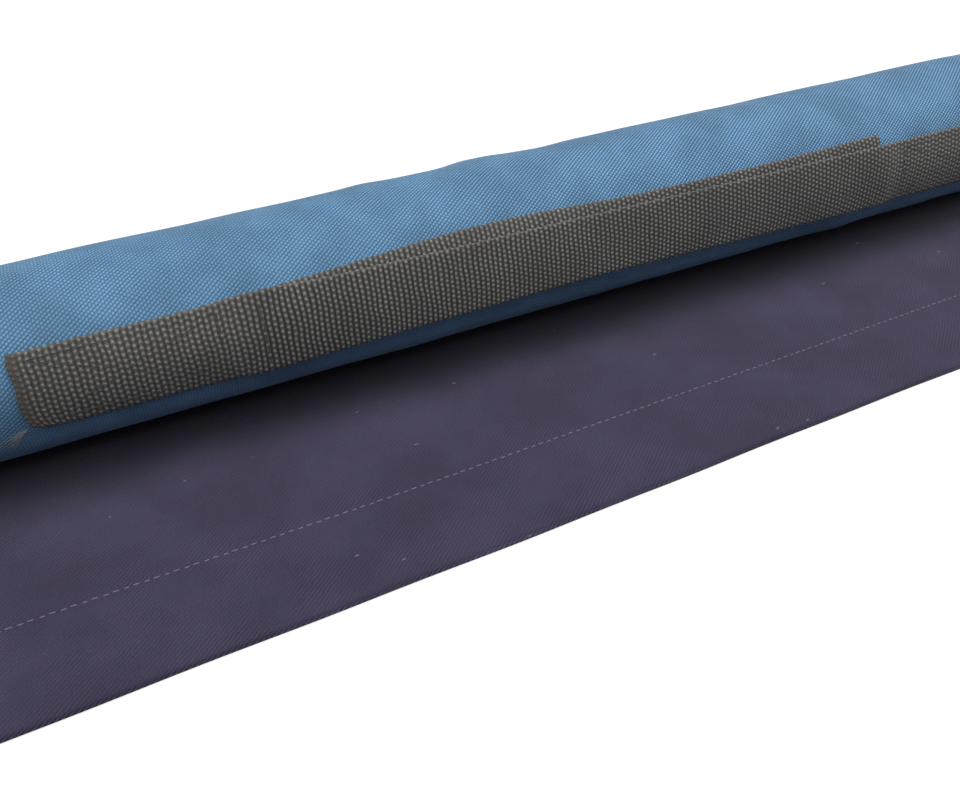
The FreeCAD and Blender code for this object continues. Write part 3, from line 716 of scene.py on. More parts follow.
# %% [markdown]
# The cover's cut runs from its lengthwise seam once round the tube. It is gridded at 2.4 mm,
# raised by the folds, given its cloth's thickness inwards, rolled, and closed at the seam. It lies
# flat where it is sewn down: at both ends, at the seam and under the cloth hinge.

# %% The cover
COVER_CLOTH = 0.5 * MM
COVER_STEP = 2.4 * MM
SEAM_DEGREES = 205.0
EASE_AT_ENDS = 10.0
FLAT_AT_SEAM, EASE_AT_SEAM = 7, 6
HINGE_FLAT_X, HINGE_FLAT_Y = 34 * MM, 22 * MM
HINGE_SUNK = -0.1 * MM


def cover_height(points, x_low, x_high):
    """The cover's height: folds and soft waves, held down where it is sewn."""
    height = fold_height(points, FOLDS) + soft_waves(points, 26, 0.22, seed=3)
    from_end = np.minimum(points[:, 0] - x_low, x_high - points[:, 0]) / MM
    held = np.clip(from_end / EASE_AT_ENDS, 0, 1)
    for edge in (front_y(SEAM_DEGREES), front_y(SEAM_DEGREES) + math.tau * COVER_RADIUS):
        from_seam = np.abs(points[:, 1] - edge) / MM
        held *= np.clip((from_seam - FLAT_AT_SEAM) / EASE_AT_SEAM, 0, 1)
    under_hinge = ((np.abs(points[:, 0] - ZIP_LINE) < HINGE_FLAT_X)
                   & (np.abs(points[:, 1]) < HINGE_FLAT_Y))
    return np.where(under_hinge, HINGE_SUNK, height * held)


def make_cover(name, node, body):
    """A rolled cover with its folds, as long as the CAD cover that it stands for."""
    low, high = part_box(node)
    y_start = front_y(SEAM_DEGREES)
    piece = flat_cloth(name, (low.x, high.x), (y_start, y_start + math.tau * COVER_RADIUS),
                       COVER_STEP)
    points = points_of(piece)
    points[:, 2] = cover_height(points, low.x, high.x)
    set_points(piece, points)
    apply_modifier(piece, "SOLIDIFY", thickness=COVER_CLOTH, offset=-1)
    roll(piece)
    only(piece)
    bpy.ops.object.mode_set(mode="EDIT")
    bpy.ops.mesh.select_all(action="SELECT")
    bpy.ops.mesh.remove_doubles(threshold=0.02 * MM)
    bpy.ops.object.mode_set(mode="OBJECT")
    dress(piece, blue_cloth, body)
    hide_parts(node)
    return piece


cover = make_cover("cover_cloth", "outer_cover", "case")
make_cover("lid_cover_cloth", "lid_side_cover", "lid")
print("cover faces", len(cover.data.polygons))

# %% [markdown]
# ## The handle's webbing
# The outer strap is one length of webbing, 23.5 mm wide. Its ends are sewn flat, and its middle
# is free, over a second ply. It isn't quite straight, because it was sewn by hand and eye, so two
# lists give its edges as angles round the tube, and the way between them is eased.

# %% The strap's edges
STRAP_WIDTH = 23.5 * MM
STRAP_THICKNESS = 1.0 * MM
BACKING_SHARE = 0.92
# Along mm, then degrees round to the front of the upper and the lower edge
STRAP_EDGES = [(-181, 52.8, 99.5), (-170, 52.6, 101.2), (-160, 52.4, 102.5), (-145, 52.7, 101.8),
               (-130, 52.9, 102.6), (-120, 51.4, 102.6), (-108, 52.0, 101.0), (-95, 53.6, 100.2),
               (-60, 55.0, 98.6), (-20, 55.8, 97.4), (0, 56.2, 97.0), (30, 57.0, 99.0),
               (60, 57.8, 101.0), (100, 58.2, 103.0), (125, 58.6, 105.5), (150, 58.5, 106.2),
               (181, 58.4, 105.8)]
BACKING_TOP = [(-118, 52.6), (-104, 50.7), (-95, 50.2), (-77, 47.9), (-58, 45.8), (-45, 45.2),
               (-27, 45.7), (-14, 47.0), (6, 49.4), (29, 50.5), (60, 51.1), (92, 50.7),
               (118, 50.0)]


def edge_angle(x, table, column):
    """One edge's angle at each x, read from a table and eased between its rows."""
    rows = np.array(table)
    nearby = np.linspace(-4, 4, 9)
    return np.mean([np.interp(x / MM + shift, rows[:, 0], rows[:, column]) for shift in nearby],
                   axis=0)


def strap_edges(x):
    """The flat y of the outer strap's lower and upper edges."""
    return front_y(1) * edge_angle(x, STRAP_EDGES, 2), front_y(1) * edge_angle(x, STRAP_EDGES, 1)


def backing_edges(x):
    """The flat y of the backing ply's lower and upper edges."""
    upper = front_y(1) * edge_angle(x, BACKING_TOP, 1)
    return upper - STRAP_WIDTH * BACKING_SHARE, upper


print("strap edges from", len(STRAP_EDGES), "places, backing edge from", len(BACKING_TOP))

# %% [markdown]
# The outer strap steps up over the second ply. Webbing is stiff, so across its width it stays
# flatter than the round cover, and its edges stand off a little: more on the free grip than where
# it is sewn. Its ribs are real relief too, in step with the ribs of its finish.

# %% The strap's height
PLY_STEP = 0.85 * MM
RAMP_LENGTH = 7 * MM
SEWN_LIFT, FREE_LIFT = 0.45 * MM, 0.75 * MM
LIFT_EASE = 12 * MM
RIB_RELIEF = 0.10 * MM


def strap_surface(x):
    """The height of the outer strap's outside: it steps up over the backing ply."""
    over = np.clip((GRIP_HALF + RAMP_LENGTH - np.abs(x)) / RAMP_LENGTH, 0, 1)
    over = over * over * (3 - 2 * over)
    return STRAP_THICKNESS + 0.15 * MM + PLY_STEP * over


def backing_surface(x):
    """The height of the backing ply's outside."""
    return np.full_like(x, STRAP_THICKNESS + 0.02 * MM)


def rib_relief(x):
    """The real relief of the ribs, in the same phase as the webbing's finish."""
    return RIB_RELIEF * (0.5 + 0.5 * np.cos(math.tau * x / MM / RIB_PITCH))


def strap_lift(x, from_middle):
    """How far the stiff webbing stands off the round cover, away from its middle line."""
    free = np.clip((GRIP_HALF + LIFT_EASE - np.abs(x)) / (2 * LIFT_EASE), 0, 1)
    share = np.abs(from_middle) / (STRAP_WIDTH / 2)
    return (SEWN_LIFT + FREE_LIFT * free) * share ** 2


grip_top = float(strap_surface(np.zeros(1))[0])
print("the grip's outside is", round(grip_top / MM, 2), "mm above the cover")

# %% [markdown]
# Each length is cut as a grid, laid between its two edges and rolled. The left end's front corner
# is rounded and its cut is a little uneven, as the heat left it.

# %% The straps
STRAP_STEP = 0.5 * MM
EDGE_WIDTH = 1.3 * MM
EDGE_DROP = 0.22 * MM
CORNER = 4.5 * MM
SEALED_LENGTH = 12 * MM


def sealed_inset(x, y, end_x):
    """How far the heat-sealed end is drawn in: its round front corner and uneven cut."""
    half = STRAP_WIDTH / 2
    near_front = np.clip((-y - (half - CORNER)) / CORNER, 0, 1)
    inset = CORNER * (1 - np.sqrt(1 - near_front ** 2)) + 0.2 * MM * np.sin(y / (1.9 * MM))
    inset += 0.6 * MM * np.clip(y / half, 0, 1) ** 6
    return inset * np.clip((end_x + SEALED_LENGTH - x) / SEALED_LENGTH, 0, 1)


def make_strap(name, x_range, edges, surface, nodes, sealed_end=False):
    """One length of webbing between two edges, with thickness, rolled to the tube."""
    half = STRAP_WIDTH / 2
    piece = flat_cloth(name, x_range, (-half, half), STRAP_STEP)
    points = points_of(piece)
    x, y = points[:, 0].copy(), points[:, 1].copy()
    if sealed_end:
        x = x + sealed_inset(x, y, x_range[0])
    edge = np.clip((np.abs(y) - (half - EDGE_WIDTH)) / EDGE_WIDTH, 0, 1)
    lower, upper = edges(x)
    picot = 0.10 * MM * np.sin(x / (0.9 * MM)) * edge
    points[:, 0] = x
    points[:, 1] = lower + (upper - lower) * (y + half) / (2 * half) + picot
    points[:, 2] = surface(x) + rib_relief(x) * (1 - 0.6 * edge) - EDGE_DROP * edge ** 2
    points[:, 2] += soft_waves(points, 30, 0.14, seed=11)
    if surface is strap_surface:
        points[:, 2] += strap_lift(x, y)
    set_points(piece, points)
    apply_modifier(piece, "SOLIDIFY", thickness=STRAP_THICKNESS * 0.85, offset=-1)
    roll(piece)
    dress(piece, strap_webbing)
    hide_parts(*nodes)
    return piece


def bend_with_handle(piece):
    """Bakes a piece of the handle's place into its own points."""
    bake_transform(piece)


CUT_HALF = 181 * MM
BACKING_RIGHT_END = 115 * MM
strap_left = make_strap("handle_strap_left", (-CUT_HALF, 0), strap_edges, strap_surface,
                        ("strap_end_left", "handle_grip_strap"), sealed_end=True)
strap_right = make_strap("handle_strap_right", (0, CUT_HALF), strap_edges, strap_surface,
                         ("strap_end_right", "handle_grip_strap"))
backing_left = make_strap("handle_backing_left", (-GRIP_HALF, 0), backing_edges, backing_surface,
                          ("handle_backing_strap",))
backing_right = make_strap("handle_backing_right", (0, BACKING_RIGHT_END), backing_edges,
                           backing_surface, ("handle_backing_strap",))
for piece, side in ((strap_left, -1), (backing_left, -1), (strap_right, 1), (backing_right, 1)):
    bend_with_handle(piece)
print("strap faces", len(strap_left.data.polygons))

# %% [markdown]
# ## The flat sleeve
# The sleeve is one thin sheet, folded along its front edge and sewn along the back. It lies flat,
# with very low waves, and it is drawn down where the channel is stitched. The sheet is made as
# one grid: its lower half lies on the floor, it turns up round the front fold, and its upper half
# lies on top.

# %% The sleeve
SLEEVE_STEP = 2.6 * MM
SLEEVE_CLOTH = 0.28 * MM
CHANNEL_FROM_FRONT = 31 * MM
SLEEVE_WIDTH = 117 * MM
SLEEVE_X = (BASE_END + 12 * MM, ZIP_LINE - 20 * MM)
FOLD_LENGTH = 2.6 * MM
FOLD_MIDDLE = 0.34 * MM
UNDERSIDE = 0.02 * MM


def turn_sleeve(points):
    """Turns flat sleeve points to the angle at which the sleeve lies."""
    c, s = math.cos(SLEEVE_TURN), math.sin(SLEEVE_TURN)
    x, y = points[:, 0].copy(), points[:, 1].copy()
    points[:, 0] = x * c - y * s
    points[:, 1] = SLEEVE_FRONT_Y + x * s + y * c
    return points


def sleeve_top_height(x, from_front):
    """The height of the sleeve's upper ply above the floor."""
    along, across = x / MM, from_front / MM
    waves = 0.28 * np.sin(along / 23 + 0.8 * np.sin(across / 17)) * np.sin(across / 13 + 0.5)
    waves += 0.22 * np.sin(along / 41 + across / 9 + 1.3)
    waves += 0.16 * np.sin(along / 11 - across / 15 + 0.4) * np.sin(across / 21)
    puffed = 0.55 + 0.45 * np.clip(waves + 0.35, -1, 1.2)
    from_channel = across - CHANNEL_FROM_FRONT / MM
    stitch_line = np.exp(-(from_channel / 2.2) ** 2)
    pucker = 0.10 * np.sin(along * math.tau / 5.2) * np.exp(-(from_channel / 4.5) ** 2)
    edges = np.clip(np.minimum(across, SLEEVE_WIDTH / MM - across) / 5, 0, 1)
    under_tube = np.clip((across - 68) / 12, 0, 1)
    height = 0.68 + 0.50 * puffed * edges * (1 - 0.8 * stitch_line) * (1 - under_tube) + pucker
    return np.minimum(height, 1.22) * MM


piece = flat_cloth("sleeve_cloth", SLEEVE_X, (-SLEEVE_WIDTH, SLEEVE_WIDTH), SLEEVE_STEP)
points = points_of(piece)
from_front = np.abs(points[:, 1])
top = sleeve_top_height(points[:, 0], from_front)
upper = points[:, 1] > 0
out_of_fold = np.sqrt(np.clip(from_front / FOLD_LENGTH, 0, 1))
points[:, 2] = FOLD_MIDDLE + (np.where(upper, top, UNDERSIDE) - FOLD_MIDDLE) * out_of_fold
wobble = 0.25 * MM * np.sin(points[:, 0] / (38 * MM)) + 0.1 * MM * np.sin(points[:, 0] / (9 * MM))
points[:, 1] = from_front + wobble * (1 - np.clip(from_front / (20 * MM), 0, 1))
set_points(piece, turn_sleeve(points))
apply_modifier(piece, "SOLIDIFY", thickness=SLEEVE_CLOTH, offset=-1)
sleeve = dress(piece, sleeve_twill, "case")
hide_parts("sleeve_lower_panel", "sleeve_upper_panel")
print("sleeve lies from", round(points_of(sleeve)[:, 2].min() / MM, 2), "mm up")

# %% [markdown]
# ## Stitches
# A sewn stitch is a short length of thread that dips into the cloth at both ends. One is modelled
# from a low sphere, drawn out and flattened, and it is then copied along each row. A row is given
# as flat places, so that it can be rolled with the piece that it is sewn through.

# %% One stitch, and copies of it
def mesh_piece(name, points, edges, faces):
    """A new object from its points, edges and faces."""
    mesh = bpy.data.meshes.new(name)
    mesh.from_pydata(points, edges, faces)
    made = bpy.data.objects.new(name, mesh)
    bpy.context.scene.collection.objects.link(made)
    return made


def take_shape():
    """The points and faces of the primitive that was just added, which is then removed."""
    shape = bpy.context.object
    bpy.ops.object.transform_apply(location=True, rotation=True, scale=True)
    points = points_of(shape)
    faces = [tuple(face.vertices) for face in shape.data.polygons]
    bpy.data.objects.remove(shape)
    return points, faces


def copies(name, shape, faces, places, size):
    """One mesh with a copy of a shape at each flat place: x, y, z and heading."""
    all_points, all_faces = [], []
    for index, (x, y, z, heading) in enumerate(places):
        c, s = math.cos(heading), math.sin(heading)
        scaled = shape * size
        moved = np.column_stack([x + scaled[:, 0] * c - scaled[:, 1] * s,
                                 y + scaled[:, 0] * s + scaled[:, 1] * c, z + scaled[:, 2]])
        all_points.append(moved)
        all_faces += [tuple(index * len(shape) + corner for corner in face) for face in faces]
    made = mesh_piece(name, np.concatenate(all_points).tolist(), [], all_faces)
    flat_place_map(made)
    return made


deselect()
bpy.ops.mesh.primitive_uv_sphere_add(segments=6, ring_count=5, radius=0.5,
                                     rotation=(0, math.pi / 2, 0))
STITCH_POINTS, STITCH_FACES = take_shape()
print("one stitch has", len(STITCH_FACES), "faces")

# %% [markdown]
# A row is a list of even places between two flat points. Sewing copies the stitch to each of them
# and rolls the whole row round the tube.

# %% Rows of stitches
STITCH_SIZE = (2.5 * MM, 0.42 * MM, 0.30 * MM)
STITCH_PITCH = 3.2 * MM


def row(start, end, height, pitch=STITCH_PITCH):
    """Even places along a straight flat row."""
    dx, dy = end[0] - start[0], end[1] - start[1]
    count = max(1, round(math.hypot(dx, dy) / pitch))
    heading = math.atan2(dy, dx)
    shares = [(index + 0.5) / count for index in range(count)]
    return [(start[0] + dx * share, start[1] + dy * share, height, heading) for share in shares]


def round_row(x, first_degrees, last_degrees, height):
    """Even places round the tube at one x."""
    return row((x, front_y(first_degrees)), (x, front_y(last_degrees)), height)


def sew(name, places, nodes, body=None):
    """A row of stitches, rolled round the tube."""
    piece = copies(name, STITCH_POINTS, STITCH_FACES, places, STITCH_SIZE)
    roll(piece)
    dress(piece, dark_thread, body)
    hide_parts(*nodes)
    return piece


print("stitches", round(STITCH_PITCH / MM, 1), "mm apart")

# %% [markdown]
# The sleeve's channel is sewn in a lighter thread, 31 mm behind the fold. Its stitches follow the
# cloth's own height. Three more rows close the back edge and the base end and hold the mouth's hem.

# %% The sleeve's rows
SLEEVE_STITCH_SIZE = (1.9 * MM, 0.42 * MM, 0.24 * MM)
SLEEVE_STITCH_PITCH = 2.6 * MM
SLEEVE_SEAM = 6 * MM
HEM_WIDTH = 20 * MM
DRIFT, DRIFT_START, DRIFT_LENGTH = 1.2 * MM, -100 * MM, 90 * MM


def sew_sleeve(name, start, end, node):
    """A row on the sleeve's upper ply. A lengthwise row drifts back a little at its left end."""
    places = []
    for x, across, _, heading in row(start, end, 0, SLEEVE_STITCH_PITCH):
        if heading == 0:
            across += DRIFT * min(1, max(0, (DRIFT_START - x) / DRIFT_LENGTH))
        height = float(sleeve_top_height(np.array([x]), np.array([across]))[0])
        places.append((x, across, height + 0.02 * MM, heading))
    piece = copies(name, STITCH_POINTS, STITCH_FACES, places, SLEEVE_STITCH_SIZE)
    set_points(piece, turn_sleeve(points_of(piece)))
    dress(piece, sleeve_thread, "case")
    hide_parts(node)
    return len(places)


back_row = SLEEVE_WIDTH - SLEEVE_SEAM
base_row, hem_row = SLEEVE_X[0] + SLEEVE_SEAM, SLEEVE_X[1] - HEM_WIDTH
sewn = sew_sleeve("sleeve_channel_stitches", (base_row, CHANNEL_FROM_FRONT),
                  (SLEEVE_X[1], CHANNEL_FROM_FRONT), "sleeve_channel_thread")
sewn += sew_sleeve("sleeve_edge_stitches", (base_row, back_row), (SLEEVE_X[1], back_row),
                   "sleeve_edge_thread")
sewn += sew_sleeve("sleeve_end_stitches", (base_row, SLEEVE_SEAM), (base_row, back_row),
                   "sleeve_edge_thread")
sewn += sew_sleeve("sleeve_hem_stitches", (hem_row, CHANNEL_FROM_FRONT), (hem_row, back_row),
                   "sleeve_hem_thread")
print(sewn, "stitches on the sleeve")

# %% [markdown]
# ## Sewing on the handle
# Each end of the strap is held by a sewn box with a cross in it. The thread is as dark as the
# webbing and sinks between its ribs. One more row at each end of the grip joins the two plies.

# %% The handle's rows
INSET = 2.6 * MM
BOX_FROM_GRIP, BOX_FROM_END = 9 * MM, 3.5 * MM
JOIN_FROM_GRIP_END = 3 * MM


def on_strap(x, side_share):
    """A flat place on the outer strap, from its lower edge (0) to its upper edge (1)."""
    lower, upper = strap_edges(np.array([x]))
    inset_share = INSET / STRAP_WIDTH
    share = inset_share + (1 - 2 * inset_share) * side_share
    return x, float(lower[0] + (upper[0] - lower[0]) * share)


def on_webbing(places):
    """The same places, raised to the strap's own curve."""
    raised = []
    for x, y, height, heading in places:
        lower, upper = strap_edges(np.array([x]))
        lift = strap_lift(np.array([x]), np.array([y - (lower[0] + upper[0]) / 2]))
        raised.append((x, y, height + float(lift[0]), heading))
    return raised


for side, name in ((-1, "left"), (1, "right")):
    near, far = side * (GRIP_HALF + BOX_FROM_GRIP), side * (STRAP_HALF - BOX_FROM_END)
    corners = [on_strap(near, 0), on_strap(far, 0), on_strap(far, 1), on_strap(near, 1)]
    height = STRAP_THICKNESS + 0.17 * MM
    places = []
    for start, end in ((0, 1), (1, 2), (2, 3), (3, 0), (0, 2), (1, 3)):
        places += on_webbing(row(corners[start], corners[end], height))
    sew("strap_stitches_" + name + "_rows", places, ("strap_stitches_" + name,), "case")
    x = side * (GRIP_HALF - JOIN_FROM_GRIP_END)
    places = on_webbing(row(on_strap(x, 0), on_strap(x, 1), height + PLY_STEP))
    joined = sew("ply_stitches_" + name, places, ("handle_ply_stitches",))
    bend_with_handle(joined)
print("two sewn boxes and two joining rows")

# %% [markdown]
# Just under the strap's left end the cover's cloth has been rubbed, and a few pale threads have
# frayed there. They are single strands that lie over each other on the cloth.

# %% Frayed threads
FRAYED_STRANDS = 44
FRAY_X, FRAY_DEGREES = -181.6 * MM, 100.0
STRAND_SIZE = (3.4 * MM, 0.16 * MM, 0.14 * MM)
strands = []
for _ in range(FRAYED_STRANDS):
    along = rng.uniform(0.15, 1.0)
    spread = rng.uniform(-0.55, 0.75)
    x = FRAY_X - (5.6 + 2.2 * spread) * MM * along
    degrees = FRAY_DEGREES + (12.5 - 5.0 * spread) * along + rng.normal(0, 0.5)
    fall = math.atan2(front_y(degrees) - front_y(FRAY_DEGREES), x - FRAY_X)
    strands.append((x, front_y(degrees), 0.12 * MM, fall + rng.normal(0, 0.35)))
frayed = copies("frayed_strands", STITCH_POINTS, STITCH_FACES, strands, STRAND_SIZE)
roll(frayed)
dress(frayed, frayed_thread, "case")
print(len(strands), "frayed strands")

# %% [markdown]
# ## Tapes
# The seam tape, the mouth bindings and the zip's tapes are flat woven strips. Each is cut flat, as
# wide as the CAD tape that it stands for, rounded down a little at its edges, given its thickness
# and rolled to where it is sewn. The first is the tape over the cover's lengthwise seam.

# %% Flat tapes
EASED_EDGE = 0.9
SEAM_HALF = 6 * MM
SEAM_ROW = 4 * MM
SEAM_TOP = 0.42 * MM
seam_tape = ribbed_tape("seam_tape", rgb(0.05, 0.05, 0.055), 0.8, cloth_place)


def tape(name, node, body, y_range, top, thickness, step, material):
    """A flat strip with eased edges, its outside at a height above the cover."""
    low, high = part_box(node)
    x_range = (low.x, high.x)
    piece = flat_cloth(name, x_range, y_range, step)
    points = points_of(piece)
    x, y = points[:, 0], points[:, 1]
    from_edge = np.minimum(np.minimum(x - x_range[0], x_range[1] - x),
                           np.minimum(y - y_range[0], y_range[1] - y)) / MM
    eased = np.clip(1 - from_edge / EASED_EDGE, 0, 1) ** 2
    points[:, 2] = top - 0.5 * thickness * eased
    set_points(piece, points)
    apply_modifier(piece, "SOLIDIFY", thickness=thickness, offset=-1)
    roll(piece)
    dress(piece, material, body)
    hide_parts(node)
    return x_range


seam_y = front_y(SEAM_DEGREES)
seam_start, seam_end = tape("seam_tape_strip", "cover_seam_tape", "case",
                            (seam_y - SEAM_HALF, seam_y + SEAM_HALF), SEAM_TOP, 0.4 * MM,
                            1.5 * MM, seam_tape)
places = []
for y in (seam_y - SEAM_ROW, seam_y + SEAM_ROW):
    places += row((seam_start, y), (seam_end, y), SEAM_TOP)
sew("seam_stitches", places, ("cover_seam_thread",), "case")
print("seam tape", round((seam_end - seam_start) / MM), "mm long")

# %% [markdown]
# Both mouths are bound alike, on the case and on the lid, from one side of the cloth hinge round
# to the other. The zip's tapes lie under the cover's edge. The lid's starts a little later,
# because the slider parks beyond its end.

# %% Bound mouths and zip tapes
ZIP_START = 40
LID_ZIP_START = 58
MOUTH_TOP = 0.6 * MM
TAPE_TOP = -0.6 * MM
BINDING_Y = (front_y(360 - ZIP_START), front_y(ZIP_START))
LID_TAPE_Y = (front_y(360 - LID_ZIP_START), front_y(LID_ZIP_START))

for prefix, body in (("", "case"), ("lid_", "lid")):
    x_range = tape(prefix + "mouth_binding_tape", prefix + "mouth_binding", body, BINDING_Y,
                   MOUTH_TOP, 0.5 * MM, 1.0 * MM, seam_tape)
    sew(prefix + "mouth_stitches", round_row(sum(x_range) / 2, ZIP_START, 360 - ZIP_START,
                                             MOUTH_TOP), (prefix + "mouth_binding_thread",), body)
for body, y_range in (("case", BINDING_Y), ("lid", LID_TAPE_Y)):
    node = "zip_tape_" + body
    tape(node + "_strip", node, body, y_range, TAPE_TOP, 0.5 * MM, 1.2 * MM, zip_tape_cloth)
print("two bound mouths and two zip tapes")

# %% [markdown]
# ## The zip's coils
# A coil zip's teeth are one nylon wire wound into loops and sewn along the tape's edge. A single
# loop is modelled from a low torus, drawn out across the tape, and copied round the mouth. The
# case's loops and the lid's stand half a pitch apart, as they do when the slider has meshed them.

# %% Coil loops
LOOP_PITCH = 1.25 * MM
LOOP_LEAN = 0.16
COIL_WIDTH = 1.8 * MM
COIL_HEIGHT = 1.6 * MM
COIL_TO_LINE = 0.6 * MM
WIRE = 0.26 * MM
RING = 0.55 * MM
TINY = 1e-9


def drawn_out(ring_points):
    """A round ring made an oval of the coil's width and height, with its wire kept round."""
    middle = ring_points - ring_points.mean(axis=0)
    from_middle = np.hypot(middle[:, 0], middle[:, 2])
    off_line = (from_middle - RING) / np.maximum(from_middle, TINY)
    wide, high = (COIL_WIDTH / 2 - WIRE) / RING, (COIL_HEIGHT / 2 - WIRE) / RING
    return np.column_stack([middle[:, 0] * ((1 - off_line) * wide + off_line), middle[:, 1],
                            middle[:, 2] * ((1 - off_line) * high + off_line)])


deselect()
bpy.ops.mesh.primitive_torus_add(major_segments=10, minor_segments=5, major_radius=RING,
                                 minor_radius=WIRE, rotation=(math.pi / 2, 0, 0))
round_ring, LOOP_FACES = take_shape()
LOOP_POINTS = drawn_out(round_ring)


def coil(name, side, first_degrees, shift, body, node):
    """Loops round one half of the zip, leaning a little as wound wire does."""
    x = ZIP_LINE + side * (COIL_TO_LINE + COIL_WIDTH / 2)
    start, end = front_y(first_degrees + shift), front_y(360 - first_degrees + shift)
    count = round(abs(end - start) / LOOP_PITCH)
    places = [(x, start + (end - start) * (index + 0.5) / count, -COIL_HEIGHT / 2,
               side * LOOP_LEAN) for index in range(count)]
    piece = copies(name, LOOP_POINTS, LOOP_FACES, places, (1, 1, 1))
    roll(piece)
    dress(piece, coil_plastic, body)
    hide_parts(node)
    return count


half_pitch = math.degrees(LOOP_PITCH / 2 / COVER_RADIUS)
loops = coil("zip_coil_case_loops", -1, ZIP_START, 0, "case", "zip_coil_case")
loops += coil("zip_coil_lid_loops", 1, LID_ZIP_START, half_pitch, "lid", "zip_coil_lid")
print(loops, "loops")

# %% [markdown]
# ## The lid's cloth hinge
# The lid hangs on a gusset of cover cloth along the top, sewn down on both sides of the fold. The
# fold is on the hinge's own axis.

# %% The gusset
GUSSET_HALF = 30 * MM
GUSSET_DEGREES = 36
GUSSET_TOP = 0.6 * MM
HEM = 3 * MM
HEM_STEP = 0.16 * MM
HEM_SLOPE = 1.2
STITCHES_FROM_FOLD = 8 * MM

gusset = flat_cloth("hinge_gusset", (ZIP_LINE - GUSSET_HALF, ZIP_LINE + GUSSET_HALF),
                    (front_y(GUSSET_DEGREES), front_y(-GUSSET_DEGREES)), 0.9 * MM)
points = points_of(gusset)
from_end = (GUSSET_HALF - np.abs(points[:, 0] - ZIP_LINE)) / MM
from_side = (points[:, 1].max() - np.abs(points[:, 1])) / MM
from_edge = np.minimum(from_end, from_side)
turned_hem = HEM_STEP * np.clip((HEM / MM + HEM_SLOPE - from_edge) / HEM_SLOPE, 0, 1)
rounded = 0.45 * MM * np.clip(1 - from_edge, 0, 1) ** 2
points[:, 2] = GUSSET_TOP + turned_hem - rounded + soft_waves(points, 16, 0.08, seed=5)
set_points(gusset, points)
apply_modifier(gusset, "SOLIDIFY", thickness=0.4 * MM, offset=-1)
roll(gusset)
dress(gusset, blue_cloth)
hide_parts("hinge_leaf_case", "hinge_leaf_lid")
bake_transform(gusset)

side_y = front_y(GUSSET_DEGREES) + HEM
for body, side in (("case", -1), ("lid", 1)):
    near, far = ZIP_LINE + side * STITCHES_FROM_FOLD, ZIP_LINE + side * (GUSSET_HALF - HEM)
    corners = [(near, side_y), (far, side_y), (far, -side_y), (near, -side_y)]
    places = []
    for start, end in zip(corners, corners[1:]):
        places += row(start, end, GUSSET_TOP + HEM_STEP)
    sew("gusset_stitches_" + body, places, ("hinge_leaf_" + body + "_thread",), body)
print("gusset", round(2 * GUSSET_HALF / MM), "mm along the case")

# %% [markdown]
# ## The padded ends
# Each end is a disc of foam under cloth. Tight cloth over foam swells, so the disc is made a
# little small, given even small faces by a voxel remesh, and blown up by a cloth simulation with
# pressure and no gravity. How far a point may move is capped, and the modifier is applied.

# %% Padded discs
PAD_RADIUS = 26.1 * MM
PAD_DEPTH = 4.2 * MM
PAD_VOXEL = 1.5 * MM
PAD_CAP = 1.1 * MM
PAD_SIDE_CAP = 0.3 * MM
SWELL_FRAMES = 20
PRESSURE = 4


def swell(piece):
    """Blows the piece up by a cloth simulation, and caps how far its points move."""
    before = points_of(piece)
    scene = bpy.context.scene
    cloth = piece.modifiers.new("swell", "CLOTH")
    cloth.settings.quality = 6
    cloth.settings.mass = 0.02
    cloth.settings.use_pressure = True
    cloth.settings.uniform_pressure_force = PRESSURE
    cloth.settings.effector_weights.gravity = 0
    cloth.point_cache.frame_start, cloth.point_cache.frame_end = 1, SWELL_FRAMES
    for frame_number in range(1, SWELL_FRAMES + 1):
        scene.frame_set(frame_number)
    only(piece)
    bpy.ops.object.modifier_apply(modifier=cloth.name)
    scene.frame_set(1)
    moved = points_of(piece) - before
    far = np.linalg.norm(moved, axis=1, keepdims=True)
    after = before + moved * np.minimum(1, PAD_CAP / np.maximum(far, TINY))
    from_axis = np.hypot(after[:, 1], after[:, 2] - AXIS_Z)
    hold = np.minimum(1, (PAD_RADIUS + PAD_SIDE_CAP) / np.maximum(from_axis, TINY))
    after[:, 1] *= hold
    after[:, 2] = AXIS_Z + (after[:, 2] - AXIS_Z) * hold
    set_points(piece, after)
    print(piece.name, "swelled by up to", round(float(far.max()) / MM, 2), "mm before the cap")


def padded_disc(name, side, body, nodes):
    """A padded disc at one end of the case; side is -1 at the base and 1 at the lid."""
    deselect()
    middle_x = side * (LID_END - 0.2 * MM - PAD_DEPTH / 2)
    bpy.ops.mesh.primitive_cylinder_add(vertices=72, radius=PAD_RADIUS, depth=PAD_DEPTH,
                                        location=(middle_x, 0, AXIS_Z),
                                        rotation=(0, math.pi / 2, 0))
    piece = bpy.context.object
    piece.name = piece.data.name = name
    bpy.ops.object.transform_apply(location=True, rotation=True, scale=True)
    apply_modifier(piece, "REMESH", mode="VOXEL", voxel_size=PAD_VOXEL)
    swell(piece)
    apply_modifier(piece, "SUBSURF", levels=1, render_levels=1)
    flat_place_map(piece, 1, 2)
    dress(piece, blue_cloth, body)
    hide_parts(*nodes)


padded_disc("base_end_cushion", -1, "case", ("base_cover", "base_pad"))
padded_disc("lid_end_cushion", 1, "lid", ("lid_top_cover", "lid_pad"))
print("two cushions, each", round(2 * PAD_RADIUS / MM, 1), "mm across")

# %% [markdown]
# ## Edge bindings
# Where the end meets the side, the raw edges are covered by a folded tape. Its section is drawn
# once, as an open line over the corner, and spun round the tube. After its doubles are merged and
# its normals are set, it is given its thickness.

